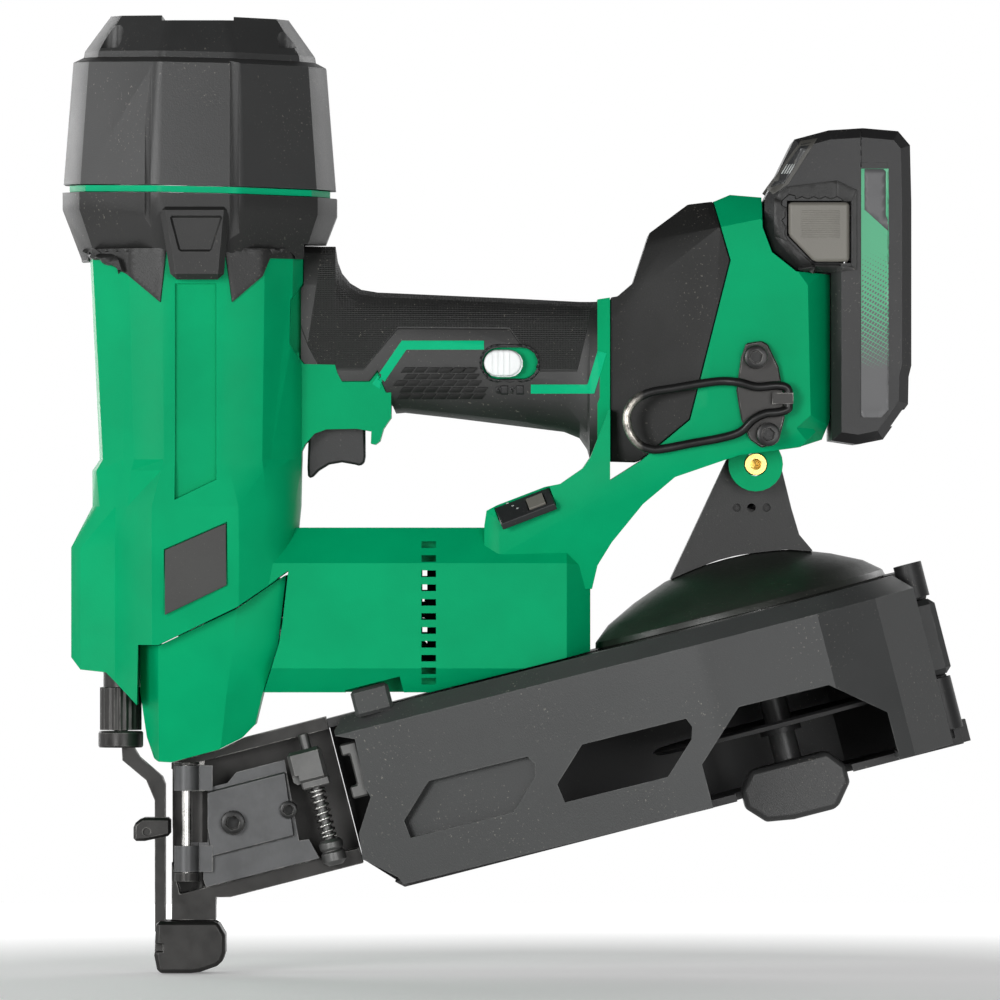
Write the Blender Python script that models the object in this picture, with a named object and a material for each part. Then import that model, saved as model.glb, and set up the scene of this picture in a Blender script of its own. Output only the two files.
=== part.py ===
"""Cordless coil roofing nailer with an air-spring drive, as an assembly of separate parts.

Lengths are in millimetres until make_mesh() scales them to metres. Design frame: X runs from the driving
axis back to the battery, Y across the tool (the near, left-hand side is -Y), Z up along the driving axis,
with Z = 0 at the work-contact face. The datum empty moves that frame so that the object's origin is the
bottom centre of its bounding box. The magazine has a frame of its own, tilted about Y: u along it, w up.
"""

import math

import bmesh
import bpy
from mathutils import Matrix, Vector

MM = 0.001
GAP = 0.3  # air left between two touching parts

# Driving dimensions
TOP = 348.6  # overall height
FRONT, REAR = -48.7, 282.4  # overall length, from the driving axis
HALF_WIDTH = 62.0  # overall half width, at the magazine drum

HEAD_X = 1.2  # middle of the head along X
HEAD_RAKE = math.radians(1.3)  # the head's joint lines drop towards the handle
HEAD_R = 50.6
CYLINDER_R = 24.0
BORE_R = 20.0

MOTOR_Y, MOTOR_Z = 11.0, 132.2  # motor axis, parallel to X
PIN_CIRCLE_R, LIFTER_PINS = 10.0, 7
RACK_PITCH = 2 * math.pi * PIN_CIRCLE_R / LIFTER_PINS

GEAR_MODULE = 1.0
SUN_TEETH, PLANET_TEETH, RING_TEETH = 12, 9, 30

MAG_TILT = math.radians(14.4)
MAG_Z = 17.2  # height of the magazine frame's origin, on the driving axis
DRUM_U = 224.0  # middle of the nail drum
COVER_HINGE_U, COVER_HINGE_Y = 283.5, -8.0
LATCH_U, LATCH_Y = 55.0, -13.5

BATTERY_Y = 38.0
HOOK_AXIS = (214.8, -42.5)
DOOR_AXIS = (-3.5, -13.2)
DIAL_X = -27.8
TRIGGER_PIVOT = (44.5, 207.5)

MATERIALS = {
    "green_plastic": ((0.0, 0.31, 0.16), 0.42, 0.0),
    "black_plastic": ((0.022, 0.022, 0.022), 0.5, 0.0),
    "grip_rubber": ((0.016, 0.016, 0.015), 0.72, 0.0),
    "magazine_plastic": ((0.045, 0.047, 0.05), 0.55, 0.0),
    "smoke_plastic": ((0.02, 0.022, 0.018), 0.18, 0.0),
    "black_steel": ((0.03, 0.03, 0.03), 0.42, 0.8),
    "gunmetal": ((0.11, 0.11, 0.115), 0.45, 0.7),
    "bright_steel": ((0.5, 0.5, 0.5), 0.3, 1.0),
    "brass": ((0.75, 0.5, 0.12), 0.3, 1.0),
    "white_plastic": ((0.8, 0.82, 0.82), 0.4, 0.0),
    "latch_plastic": ((0.11, 0.1, 0.085), 0.5, 0.0),
    "aluminium": ((0.6, 0.6, 0.62), 0.4, 1.0),
    "copper": ((0.6, 0.28, 0.12), 0.4, 1.0),
    "circuit_board": ((0.02, 0.14, 0.06), 0.5, 0.0),
}


# ---------------------------------------------------------------- building tools


def clear_scene():
    for obj in list(bpy.data.objects):
        bpy.data.objects.remove(obj)


def make_mesh(points, faces):
    mesh = bpy.data.meshes.new("solid")
    mesh.from_pydata([[c * MM for c in p] for p in points], [], faces)
    mesh.update()
    obj = bpy.data.objects.new("solid", mesh)
    bpy.context.scene.collection.objects.link(obj)
    return obj


def signed_volume(obj):
    total = 0.0
    for face in obj.data.polygons:
        corners = [obj.data.vertices[i].co for i in face.vertices]
        for b, c in zip(corners[1:-1], corners[2:]):
            total += corners[0].dot(b.cross(c))
    return total


def facing_out(obj):
    """Turns every face round if the closed mesh is inside out."""
    if signed_volume(obj) < 0:
        obj.data.flip_normals()
    return obj


def loft(rings):
    """A closed solid through rings with the same number of points, capped at both ends."""
    n = len(rings[0])
    points = [p for ring in rings for p in ring]
    faces = [tuple(range(n)), tuple(reversed(range(len(points) - n, len(points))))]
    for r in range(len(rings) - 1):
        low, high = r * n, (r + 1) * n
        faces += [(low + (i + 1) % n, low + i, high + i, high + (i + 1) % n) for i in range(n)]
    return facing_out(make_mesh(points, faces))


def on_axis(axis, a, b, c):
    """A point with (a, b) in the plane across the axis and c along it."""
    return {"X": (c, a, b), "Y": (a, c, b), "Z": (a, b, c)}[axis]


def prism(outline, low, high, axis="Y"):
    return loft([[on_axis(axis, a, b, c) for a, b in outline] for c in (low, high)])


def box(x, y, z):
    return prism([(x[0], z[0]), (x[1], z[0]), (x[1], z[1]), (x[0], z[1])], y[0], y[1])


def circle(radius, centre=(0, 0), count=24, start=0.0, turn=2 * math.pi):
    whole = abs(turn - 2 * math.pi) < 1e-9
    steps = count if whole else count - 1
    angles = [start + turn * i / steps for i in range(count)]
    return [(centre[0] + radius * math.cos(a), centre[1] + radius * math.sin(a)) for a in angles]


def rod(radius, low, high, centre=(0, 0), axis="Z", count=20):
    return prism(circle(radius, centre, count), low, high, axis)


def turned(profile, centre=(0, 0), axis="Z", count=24):
    """A solid of revolution; the (radius, height) profile is closed, or starts and ends at radius 0."""
    points, rows = [], []
    for radius, height in profile:
        ring = [(0.0, 0.0)] if radius == 0 else circle(radius, count=count)
        rows.append([len(points) + i for i in range(len(ring))])
        points += [on_axis(axis, centre[0] + a, centre[1] + b, height) for a, b in ring]
    faces = []
    for one, two in zip(rows, rows[1:] + rows[:1]):
        for i in range(count):
            corners = [one[i % len(one)], one[(i + 1) % len(one)], two[(i + 1) % len(two)], two[i % len(two)]]
            corners = list(dict.fromkeys(corners))
            if len(corners) > 2:
                faces.append(corners)
    return facing_out(make_mesh(points, faces))


def inset(outline, distance):
    """The outline moved inwards by a distance, corner by corner; a negative distance moves it outwards."""
    area = sum(a[0] * b[1] - b[0] * a[1] for a, b in zip(outline, outline[1:] + outline[:1]))
    side = 1 if area > 0 else -1
    moved = []
    for i, point in enumerate(outline):
        p = Vector(point)
        before = (p - Vector(outline[i - 1])).normalized()
        after = (Vector(outline[(i + 1) % len(outline)]) - p).normalized()
        normal_a = Vector((-before.y, before.x)) * side
        normal_b = Vector((-after.y, after.x)) * side
        middle = (normal_a + normal_b).normalized()
        reach = distance / max(middle.dot(normal_a), 0.35)
        moved.append(tuple(p + middle * reach))
    return moved


def slab(outline, half, chamfer=(6, 6), parting=0.0):
    """The near half of a body: its side outline drawn out to Y = -half, with a chamfered edge."""
    across, deep = chamfer
    rings = [
        [(x, -parting, z) for x, z in outline],
        [(x, -half + deep, z) for x, z in outline],
        [(x, -half, z) for x, z in inset(outline, across)],
    ]
    return loft(rings)


def hull(*groups):
    """The convex solid around groups of points, each group given as (y, outline in x and z)."""
    solid = bmesh.new()
    for y, outline in groups:
        for x, z in outline:
            solid.verts.new((x * MM, y * MM, z * MM))
    shell = bmesh.ops.convex_hull(solid, input=solid.verts)
    loose = set(shell["geom_interior"]) | set(shell["geom_unused"])
    spare = [v for v in loose if isinstance(v, bmesh.types.BMVert)]
    bmesh.ops.delete(solid, geom=spare, context="VERTS")
    obj = make_mesh([], [])
    solid.to_mesh(obj.data)
    solid.free()
    return facing_out(obj)


def without_specks(mesh):
    """Closes up the vanishingly small edges that a cut can leave."""
    solid = bmesh.new()
    solid.from_mesh(mesh)
    bmesh.ops.remove_doubles(solid, verts=solid.verts, dist=0.004 * MM)
    bmesh.ops.dissolve_degenerate(solid, edges=solid.edges, dist=0.004 * MM)
    solid.to_mesh(mesh)
    solid.free()
    return mesh


def combine(target, tool, operation):
    modifier = target.modifiers.new("combine", "BOOLEAN")
    modifier.operation = operation
    modifier.solver = "EXACT"
    modifier.object = tool
    graph = bpy.context.evaluated_depsgraph_get()
    mesh = bpy.data.meshes.new_from_object(target.evaluated_get(graph))
    target.modifiers.clear()
    target.data = without_specks(mesh)
    bpy.data.objects.remove(tool)
    return target


def join(target, *tools):
    for tool in tools:
        combine(target, tool, "UNION")
    return target


def cut(target, *tools):
    for tool in tools:
        combine(target, tool, "DIFFERENCE")
    return target


def keep(target, tool):
    return combine(target, tool, "INTERSECT")


def copy_of(obj):
    twin = bpy.data.objects.new("solid", obj.data.copy())
    bpy.context.scene.collection.objects.link(twin)
    return twin


def moved(obj, matrix):
    obj.data.transform(matrix)
    if matrix.determinant() < 0:
        obj.data.flip_normals()
    return obj


def shifted(obj, x=0.0, y=0.0, z=0.0):
    return moved(obj, Matrix.Translation(Vector((x, y, z)) * MM))


def mirrored(obj):
    return moved(copy_of(obj), Matrix.Scale(-1, 4, (0, 1, 0)))


def bevelled(obj, width, segments=1, angle=30):
    modifier = obj.modifiers.new("edges", "BEVEL")
    modifier.width = width * MM
    modifier.segments = segments
    modifier.limit_method = "ANGLE"
    modifier.angle_limit = math.radians(angle)
    graph = bpy.context.evaluated_depsgraph_get()
    mesh = bpy.data.meshes.new_from_object(obj.evaluated_get(graph))
    obj.modifiers.clear()
    obj.data = mesh
    return obj


MAG_MATRIX = Matrix.Translation((0, 0, MAG_Z * MM)) @ Matrix.Rotation(-MAG_TILT, 4, "Y")


def in_magazine(obj):
    return moved(obj, MAG_MATRIX)


def magazine_point(u, y, w):
    return MAG_MATRIX @ (Vector((u, y, w)) * MM) / MM


def material(name):
    made = bpy.data.materials.get(name)
    if made is None:
        colour, roughness, metallic = MATERIALS[name]
        made = bpy.data.materials.new(name)
        made.use_nodes = True
        shader = made.node_tree.nodes["Principled BSDF"]
        shader.inputs["Base Color"].default_value = (*colour, 1)
        shader.inputs["Roughness"].default_value = roughness
        shader.inputs["Metallic"].default_value = metallic
        made.diffuse_color = (*colour, 1)
    return made


def part(obj, name, material_name, pivot=None, crease=35):
    """Names a finished solid, gives it its material and, if it moves, puts its origin on its joint."""
    obj.name = name
    obj.data.name = name
    obj.data.materials.clear()
    obj.data.materials.append(material(material_name))
    obj.data.shade_smooth()
    obj.data.set_sharp_from_angle(angle=math.radians(crease))
    if pivot is not None:
        place = Vector(pivot) * MM
        obj.data.transform(Matrix.Translation(-place))
        obj.location = place
    obj.parent = bpy.data.objects["tool_datum"]
    return obj


# ---------------------------------------------------------------- the head


def head_ring(radius, z, depth=0.94):
    """The head's plan shape: a many-sided ring with narrow flats beside its four wide panels."""
    quarter = [15, 20, 58, 78]
    half = quarter + [180 - d for d in reversed(quarter)]
    angles = [start + d for start in (0, 180) for d in half]
    ring = []
    for degrees in angles:
        a = math.radians(degrees)
        x, y = radius * math.sin(a), -radius * depth * math.cos(a)
        ring.append((HEAD_X + x, y, z - x * math.tan(HEAD_RAKE)))
    return ring


def head_panel_groove(low, high, depth_from):
    """Cutters for the upright grooves on both sides of the head's middle panels."""
    return [
        box(xs, sorted((side * depth_from, side * 60)), (low, high))
        for side in (-1, 1)
        for xs in ((-17.8, -15.6), (13.0, 16.4))
    ]


def head_cap():
    shape = loft(
        [
            head_ring(HEAD_R, 286.0),
            head_ring(HEAD_R - 3.6, 330.5),
            head_ring(HEAD_R - 7.4, 332.4),
            head_ring(HEAD_R - 7.8, 334.6),
            head_ring(HEAD_R - 17.5, TOP - 0.8),
        ]
    )
    cut(shape, *head_panel_groove(280, 331.0, 41.2))
    cut(shape, turned([(0, 280), (40, 280), (40, 328), (26, 340), (0, 340)]))
    for x in (-31.0, 33.5):
        for y in (-22, 22):
            cut(shape, rod(4.2, 336.5, 360, (x + 0.6, y), count=16))
    cut(shape, box((-12, 14), (-60, 60), (TOP - 2.4, 360)))
    part(bevelled(shape, 0.8, 1, 40), "head_cap", "black_plastic")


def cap_ring():
    ring = loft([head_ring(HEAD_R - 2.2, 283.4), head_ring(HEAD_R - 2.2, 285.7)])
    cut(ring, rod(40, 270, 300, count=32))
    part(ring, "cap_ring", "green_plastic")


COLLAR_EDGE = [
    (-60, 283), (-60, 262), (-43, 258.8), (-38.3, 259.4), (-26.3, 259.4), (-24.5, 254.0), (-12.4, 243.6),
    (-11.4, 256.0), (-8.6, 250.9), (11.0, 250.9), (13.2, 256.0), (13.8, 243.6), (24.8, 253.4), (27.4, 259.8),
    (39.3, 259.8), (39.3, 265.2), (60, 265.2), (60, 283),
]


def head_collar(column):
    outer = loft(
        [
            head_ring(HEAD_R - 8.0, 240.0, 0.92),
            head_ring(HEAD_R - 6.6, 259.0, 0.92),
            head_ring(HEAD_R + 0.4, 276.8),
            head_ring(HEAD_R + 0.4, 283.1),
        ]
    )
    cut(outer, *head_panel_groove(262, 290, 42.4))
    tongue = prism([(-12.6, 279), (13.0, 279), (10.6, 252), (-8.2, 252)], -47.6, -36)
    tongue = bevelled(tongue, 2.0, 1, 40)
    cut(tongue, bevelled(prism([(-8.8, 275), (10.6, 275), (6.4, 262), (-5.4, 262)], -60, -46), 0.8))
    join(outer, mirrored(tongue), tongue)
    keep(outer, prism(COLLAR_EDGE + [(60, 290), (-60, 290)], -60, 60))
    cut(outer, rod(40, 262.0, 300, count=32), copy_of(column))
    cut(outer, box((39.3, 60), (-60, 60), (200, 265.1)))
    part(outer, "head_collar", "black_plastic")


def air_chamber():
    wall = [
        (CYLINDER_R + GAP, 266), (39.4, 266), (39.4, 327.5), (25.6, 339.3), (0, 339.3), (0, 337), (24.8, 337),
        (37.2, 326.6), (37.2, 268.5), (CYLINDER_R + GAP, 268.5),
    ]
    part(turned(wall), "air_chamber", "aluminium")


def cylinder():
    wall = [(9, 200), (CYLINDER_R, 200), (CYLINDER_R, 300), (BORE_R, 300), (BORE_R, 204), (9, 204)]
    part(turned(wall), "cylinder", "aluminium")


def bumper():
    wall = [(9, 204.3), (19.6, 204.3), (19.6, 210), (17.5, 214), (9, 214)]
    part(turned(wall), "bumper", "grip_rubber")


# ---------------------------------------------------------------- piston, blade and lifting gear


def piston():
    wall = [(0, 276), (17.5, 276), (19.7, 277.5), (19.7, 280), (18.9, 280), (18.9, 282.5), (19.7, 282.5),
            (19.7, 288), (18.5, 289), (0, 289)]
    part(turned(wall), "piston", "aluminium", pivot=(0, 0, 276))


def driver_blade():
    """A flat bar whose rack faces the lifting wheel; at rest one wheel pin sits midway between two teeth."""
    root, tip = -1.0, 3.0
    outline = [(root, 276 - GAP), (-5, 276 - GAP), (-5, 68), (-4, 66), (-2, 66), (root, 68)]
    for k in range(-1, 8):
        z = MOTOR_Z + RACK_PITCH * (k + 0.5)
        outline += [(root, z - 1.8), (tip, z - 1.1), (tip, z + 1.1), (root, z + 1.8)]
    part(prism(outline, -2.9, 2.9, "X"), "driver_blade", "bright_steel", pivot=(0, 0, 66))


def lifter_wheel():
    centre = (MOTOR_Y, MOTOR_Z)
    wheel = rod(12.6, -7.0, -4.0, centre, "X", 24)
    join(wheel, rod(12.6, 4.0, 7.0, centre, "X", 24), rod(5.0, -12, 16.0, centre, "X", 16))
    for k in range(LIFTER_PINS):
        a = math.pi + 2 * math.pi * k / LIFTER_PINS
        at = (MOTOR_Y + PIN_CIRCLE_R * math.cos(a), MOTOR_Z + PIN_CIRCLE_R * math.sin(a))
        join(wheel, rod(1.75, -6, 6, at, "X", 10))
    carrier = rod(13.6, 15.5, 18.0, centre, "X", 24)
    reach = GEAR_MODULE * (SUN_TEETH + PLANET_TEETH) / 2
    for k in range(3):
        a = math.pi / 2 + 2 * math.pi * k / 3
        at = (MOTOR_Y + reach * math.cos(a), MOTOR_Z + reach * math.sin(a))
        join(carrier, rod(1.6, 17, 27, at, "X", 10))
    part(join(wheel, carrier), "lifter_wheel", "bright_steel", pivot=(0, MOTOR_Y, MOTOR_Z))


def gear_outline(teeth, phase, inner=False):
    """Straight-sided teeth, thinner than half the pitch for backlash; phase is the middle of one tooth."""
    pitch_r = GEAR_MODULE * teeth / 2
    step = 2 * math.pi / teeth
    tip, root = (pitch_r - 0.7, pitch_r + 1.0) if inner else (pitch_r + 0.7, pitch_r - 1.1)
    outline = []
    for k in range(teeth):
        for radius, share in ((root, -0.25), (tip, -0.11), (tip, 0.11), (root, 0.25)):
            a = phase + step * (k + share)
            outline.append((radius * math.cos(a), radius * math.sin(a)))
    return outline


def at_motor_axis(outline):
    return [(MOTOR_Y + a, MOTOR_Z + b) for a, b in outline]


def ring_gear():
    """Gear case: fixed in the motor housing, with the ring's inner teeth cut in it."""
    case = rod(17.8, 14.0, 30.0, (MOTOR_Y, MOTOR_Z), "X", 32)
    half_step = math.pi / RING_TEETH
    gap_at_top = math.pi / 2 + half_step
    cut(case, prism(at_motor_axis(gear_outline(RING_TEETH, gap_at_top, inner=True)), 13, 28, "X"))
    cut(case, rod(7, 25, 40, (MOTOR_Y, MOTOR_Z), "X", 20))
    part(case, "ring_gear", "gunmetal")


def planet_gears():
    reach = GEAR_MODULE * (SUN_TEETH + PLANET_TEETH) / 2
    for k in range(3):
        a = math.pi / 2 + 2 * math.pi * k / 3
        y, z = MOTOR_Y + reach * math.cos(a), MOTOR_Z + reach * math.sin(a)
        outline = [(y + p, z + q) for p, q in gear_outline(PLANET_TEETH, a)]
        gear = cut(prism(outline, 19.0, 26.0, "X"), rod(1.9, 18, 27.5, (y, z), "X", 10))
        part(gear, f"planet_gear_{k + 1}", "bright_steel", pivot=(0, y, z))


def motor_rotor():
    centre = (MOTOR_Y, MOTOR_Z)
    rotor = prism(at_motor_axis(gear_outline(SUN_TEETH, math.pi / 2)), 20, 29.4, "X")
    join(rotor, rod(3.0, 29, 96, centre, "X", 16), rod(8.6, 42, 78, centre, "X", 24))
    part(rotor, "motor_rotor", "gunmetal", pivot=(0, MOTOR_Y, MOTOR_Z))


def motor_stator():
    centre = (MOTOR_Y, MOTOR_Z)
    stator = cut(rod(18.0, 40, 80, centre, "X", 28), rod(9.3, 30, 90, centre, "X", 20))
    for k in range(6):
        a = math.pi * k / 3
        at = (MOTOR_Y + 14.2 * math.cos(a), MOTOR_Z + 14.2 * math.sin(a))
        cut(stator, rod(2.2, 30, 90, at, "X", 8))
    part(stator, "motor_stator", "copper")


def cooling_fan():
    centre = (MOTOR_Y, MOTOR_Z)
    fan = rod(6.0, 83, 90, centre, "X", 20)
    for k in range(9):
        blade = prism([(5, -0.8), (16.0, -0.8), (16.0, 0.8), (5, 0.8)], 84, 89.6, "X")
        moved(blade, Matrix.Rotation(2 * math.pi * k / 9, 4, "X"))
        join(fan, shifted(blade, y=MOTOR_Y, z=MOTOR_Z))
    cut(fan, rod(3.3, 80, 95, centre, "X", 16))
    part(fan, "cooling_fan", "black_plastic", pivot=(0, MOTOR_Y, MOTOR_Z))


# ---------------------------------------------------------------- the housing halves

COLUMN_LEVELS = [
    # z, then the near half's plan outline, carried a little past the parting plane
    (262.4, [(-38.6, 6), (-38.6, -14), (-37.4, -24), (-27.5, -32), (-24, -36), (-11.5, -39.5), (12.0, -39.5),
             (25.5, -36), (29.0, -32), (35.5, -24), (38.9, -14), (38.9, 6)]),
    (187.0, [(-35.0, 6), (-35.0, -14), (-33.6, -23), (-26.0, -31), (-22.0, -35), (-11.0, -39.2),
             (12.2, -39.2), (24.5, -35), (27.5, -31), (34.5, -24), (38.4, -15), (38.4, 6)]),
    (183.0, [(-37.8, 6), (-37.8, -12), (-36.0, -21), (-27.0, -28), (-23.0, -32), (-12.0, -40.0),
             (13.0, -40.0), (25.0, -35), (29.0, -32), (35.0, -25), (38.2, -17), (38.2, 6)]),
    (170.0, [(-37.8, 6), (-37.8, -10), (-35.0, -17), (-29.0, -23), (-24.5, -28), (-15.4, -40.8),
             (16.0, -40.8), (26.0, -36), (31.0, -32), (36.0, -25), (37.9, -17), (37.9, 6)]),
    (155.0, [(-45.6, 6), (-45.6, -9), (-42.0, -13.5), (-29.4, -17), (-24.5, -24), (-15.4, -40.8),
             (16.2, -40.8), (24.0, -36), (30.0, -32), (34.5, -25), (36.4, -17), (36.4, 6)]),
    (118.0, [(-45.6, 6), (-45.6, -9), (-42.0, -13.5), (-29.4, -17), (-24.5, -23), (-15.4, -36.5),
             (16.0, -36.5), (22.0, -33), (27.0, -28), (30.0, -22), (31.6, -15), (31.6, 6)]),
    (92.0, [(-45.6, 6), (-45.6, -9), (-42.0, -13.5), (-29.4, -16), (-24.5, -21), (-14.0, -30), (14.0, -30),
            (18.0, -27), (21.0, -24), (23.0, -19), (24.0, -12), (24.0, 6)]),
]

BELLY_EDGE = [
    (-60, 270), (-60, 115), (-45.6, 115), (-42.1, 110.6), (-32.7, 109.6), (-21.2, 97.9), (-20.7, 119.8),
    (-13.1, 119.8), (15.1, 133.4), (32.4, 145.2), (60, 158), (60, 270),
]

GREEN_EDGE = [
    (0, 262.4), (38.9, 262.4), (38.9, 250.6), (34.5, 244.9), (34.2, 228.9), (38.0, 223.4), (43.9, 215.3),
    (63.1, 215.3), (66.0, 219.0), (68.2, 213.3), (73.8, 200.6), (73.8, 180), (0, 180),
]

GUARD = [
    (20, 188), (37.4, 188), (39.7, 192.6), (43.2, 196.5), (47.4, 198.0), (58.5, 198.2), (63.8, 197.3),
    (63.6, 192.8), (65.2, 192.4), (66.9, 193.7), (68.2, 198.2), (70.4, 201.4), (71.0, 202.2), (71.0, 226),
    (20, 226),
]

HANDLE_STATIONS = [
    # x, top, bottom, half width
    (33, 265.0, 204, 15.5), (50.6, 265.0, 203.5, 15.5), (51.4, 259.5, 203.5, 15.7),
    (53.0, 255.2, 203.4, 16.0), (56.0, 251.6, 203.3, 16.4), (60.0, 249.2, 203.2, 16.8),
    (66.0, 248.2, 203.0, 17.2), (76.0, 247.7, 203.9, 17.6), (93.0, 247.0, 202.0, 17.8),
    (120.0, 245.8, 198.7, 17.6), (134.0, 245.1, 196.9, 17.8), (139.6, 244.8, 194.6, 18.6),
    (142.4, 244.8, 190.5, 19.5), (143.2, 244.8, 187.6, 20.2), (150.4, 245.0, 187.0, 22.4),
]


def handle_ring(x, top, bottom, half, margin=0.0, count=20):
    """A section across the handle: a super-ellipse, flatter on its sides than a plain ellipse."""
    middle, tall, wide = (top + bottom) / 2, (top - bottom) / 2 - margin, half - margin
    ring = []
    for i in range(count):
        a = 2 * math.pi * (i + 0.5) / count
        c, s = math.cos(a), math.sin(a)
        y = wide * math.copysign(abs(c) ** 0.8, c)
        z = middle + tall * math.copysign(abs(s) ** 0.8, s)
        ring.append((x, y, z))
    return ring


def handle(margin=0.0):
    return loft([handle_ring(*station, margin=margin) for station in HANDLE_STATIONS])


REAR_OUTLINE = [
    (146.0, 245.2), (153.2, 246.2), (158.8, 251.0), (164.7, 269.1), (178.7, 279.5), (188.4, 280.6),
    (194.0, 283.0), (205.4, 282.0), (205.6, 271.0), (209.0, 262.0), (217.8, 255.0), (230.3, 254.0),
    (230.3, 201.5), (227.5, 194.2), (219.5, 191.6), (197.0, 188.6), (184.0, 184.2), (162.0, 186.0),
    (146.0, 186.4),
]

STRUT_OUTLINE = [
    (225.0, 197.0), (219.5, 191.5), (197.0, 188.5), (174.0, 180.6), (162.4, 170.8), (151.1, 156.9),
    (146.0, 148.6), (144.0, 140.0), (128.0, 140.0), (104.9, 150.0), (104.9, 163.0), (105.7, 168.4),
    (109.5, 170.4), (127.0, 177.1), (132.6, 178.2), (140.8, 183.9), (143.4, 187.8), (150.0, 205.0),
    (215.0, 215.0),
]

PAD_REGION = [
    (150.8, 300), (185.9, 300), (187.6, 281.0), (190.9, 269.0), (193.8, 259.1), (179.2, 201.5),
    (161.7, 186.9), (150.8, 180.0),
]

PAD_CORE = [
    (144.0, 241.0), (155.5, 241.6), (162.0, 249.0), (167.8, 266.8), (180.0, 275.8), (206.0, 277.5),
    (206.0, 196.0), (176.0, 193.0), (160.6, 191.0), (144.0, 191.0),
]

TUBE_SECTION = [(6, 162.2), (-21, 162.2), (-32.5, 149.4), (-32.5, 111.3), (-21, 102.4), (6, 102.4)]
VENT_HEIGHTS = [156.1, 151.1, 145.6, 140.5, 135.2, 130.1, 125.0, 120.0, 115.0, 110.4, 106.6]


def column():
    rings = [[(x, y, z) for x, y in plan] for z, plan in COLUMN_LEVELS]
    solid = keep(loft(rings), prism(BELLY_EDGE, -60, 60))
    right = [(38.8, 251), (34.5, 244.9), (34.2, 228.9), (38.0, 222.6), (60, 222.6), (60, 251)]
    cut(solid, prism(right, -60, 60))
    recess = [(-7.6, 251.2), (8.6, 251.2), (8.6, 179.4), (-7.6, 171.6)]
    mouth = [(x, -60, z) for x, z in inset(recess, -2.0)]
    floor = [(x, -37.9, z) for x, z in inset(recess, 0.8)]
    cut(solid, loft([mouth, floor]))
    return solid


NOSE_REGION = [
    (-30, 60), (-20.4, 119.6), (-13.1, 119.6), (15.1, 133.2), (33.9, 146.8), (31.8, 128.0), (30.6, 120.6),
    (27.6, 110.8), (24.6, 101.8), (21.6, 90.5), (16, 60),
]


def motor_tube():
    """The near half of the motor housing, scribed to the column in front and to the magazine below."""
    rings = []
    for x, wide, tall in ((20, 1.0, 1.0), (134.8, 1.0, 1.0), (143.4, 0.72, 0.93)):
        rings.append([(x, y * wide, MOTOR_Z + (z - MOTOR_Z) * tall) for y, z in TUBE_SECTION])
    tube = cut(loft(rings), prism(NOSE_REGION, -60, 9))
    cut(tube, in_magazine(box((60, 190), (-60, 9), (0, 61.4))))
    return tube


def rear_block():
    """The near half of the rear housing; its side face turns in towards the handle and at every long edge."""
    half = BATTERY_Y
    block = prism(REAR_OUTLINE, -60, 6)
    rim = [(140, 172), (140, 262), (152, 272), (176, 290), (210, 292), (236, 262), (236, 196), (200, 178)]
    ridge = [(152.0, 193), (152.0, 238), (163.0, 250), (170.0, 264), (181, 272.5)]
    side = [(190.0, 271), (205.0, 274), (222.0, 250), (223.0, 203), (218.0, 198.5), (186.0, 193.0)]
    return keep(block, hull((7, rim), (-16, rim), (-25.5, ridge[:2]), (-30.5, ridge[2:]), (-half, side)))


def strut():
    """The near half of the strut that rises from the motor tube to the rear housing."""
    bar = prism(STRUT_OUTLINE, -60, 6)
    foot = [(100, 136), (100, 170), (130, 182), (150, 200), (150, 136)]
    top = [(140, 186), (150, 215), (225, 215), (225, 190), (190, 178)]
    face = [(110, 152), (110, 166), (138, 176), (146, 160)]
    side = [(176, 190), (190, 210), (218, 210), (218, 198), (198, 191)]
    return keep(bar, hull((7, foot), (-24, foot), (7, top), (-30, top), (-29.5, face), (-BATTERY_Y, side)))


def pad_region(margin=0.0):
    return prism(inset(PAD_REGION, margin), -60, 7)


def pad_core(margin=0.0):
    return prism(inset(PAD_CORE, margin), -23.0 + margin, 8)


def rear_pad():
    pad = cut(keep(rear_block(), pad_region()), pad_core())
    neck = box((140, 160), (-19.0, 8), (191, 241))
    return cut(pad, neck, box((0, 300), (-GAP / 2, 60), (0, 400)))


def boss(radius, outer, inner):
    return rod(radius, outer, inner, (203.5, 185.3), "Y", 24)


def housing_half():
    """The near half: column, guard, handle core, motor tube, strut and rear housing in one moulding."""
    shell = column()
    rear = join(rear_block(), strut())
    cut(rear, cut(pad_region(-GAP), pad_core(GAP), box((140, 160), (-19.0 + GAP, 9), (191.3, 240.7))))
    body = join(prism(GUARD, -14.9, 6), motor_tube(), rear)
    cut(body, grip_bed())
    join(shell, body, handle(3.0))
    join(shell, boss(9.9, -21.5, -10.5))
    cut(shell, box((-60, 300), (-GAP / 2, 60), (0, 400)))
    cut(
        shell,
        rod(CYLINDER_R + 0.6, 196, 270, count=32),
        box((-11, 14), (-16, 5), (90, 199)),
        box((14, 100), (-19.5, 10), (108.8, 159.5)),
        box((13, 104), (-29.6, 10), (112.0, 149.2)),
        rod(8.8, 96, 140, (DIAL_X, 0), count=24),
        box((40.0, 64.6), (-8.4, 5), (180, 213.5)),
        rod(1.7, -11.0, 5, TRIGGER_PIVOT, "Y", 12),
        box((66, 146), (-11.0, 5), (213, 236)),
        box((167, 221.6), (-28, 5), (199, 268)),
        box((224.2, 240), (-24.5, 5), (202.5, 260)),
        box((220, 226), (-22.5, 5), (203.0, 224.0)),
        rod(12.0, -10.2, 5, (203.5, 185.3), "Y", 24),
        rod(4.3, -30, -5, (203.5, 185.3), "Y", 20),
    )
    for z in VENT_HEIGHTS:
        cut(shell, box((82.1, 87.4), (-45, -20), (z - 1.2, z + 1.2)))
    return shell


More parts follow.
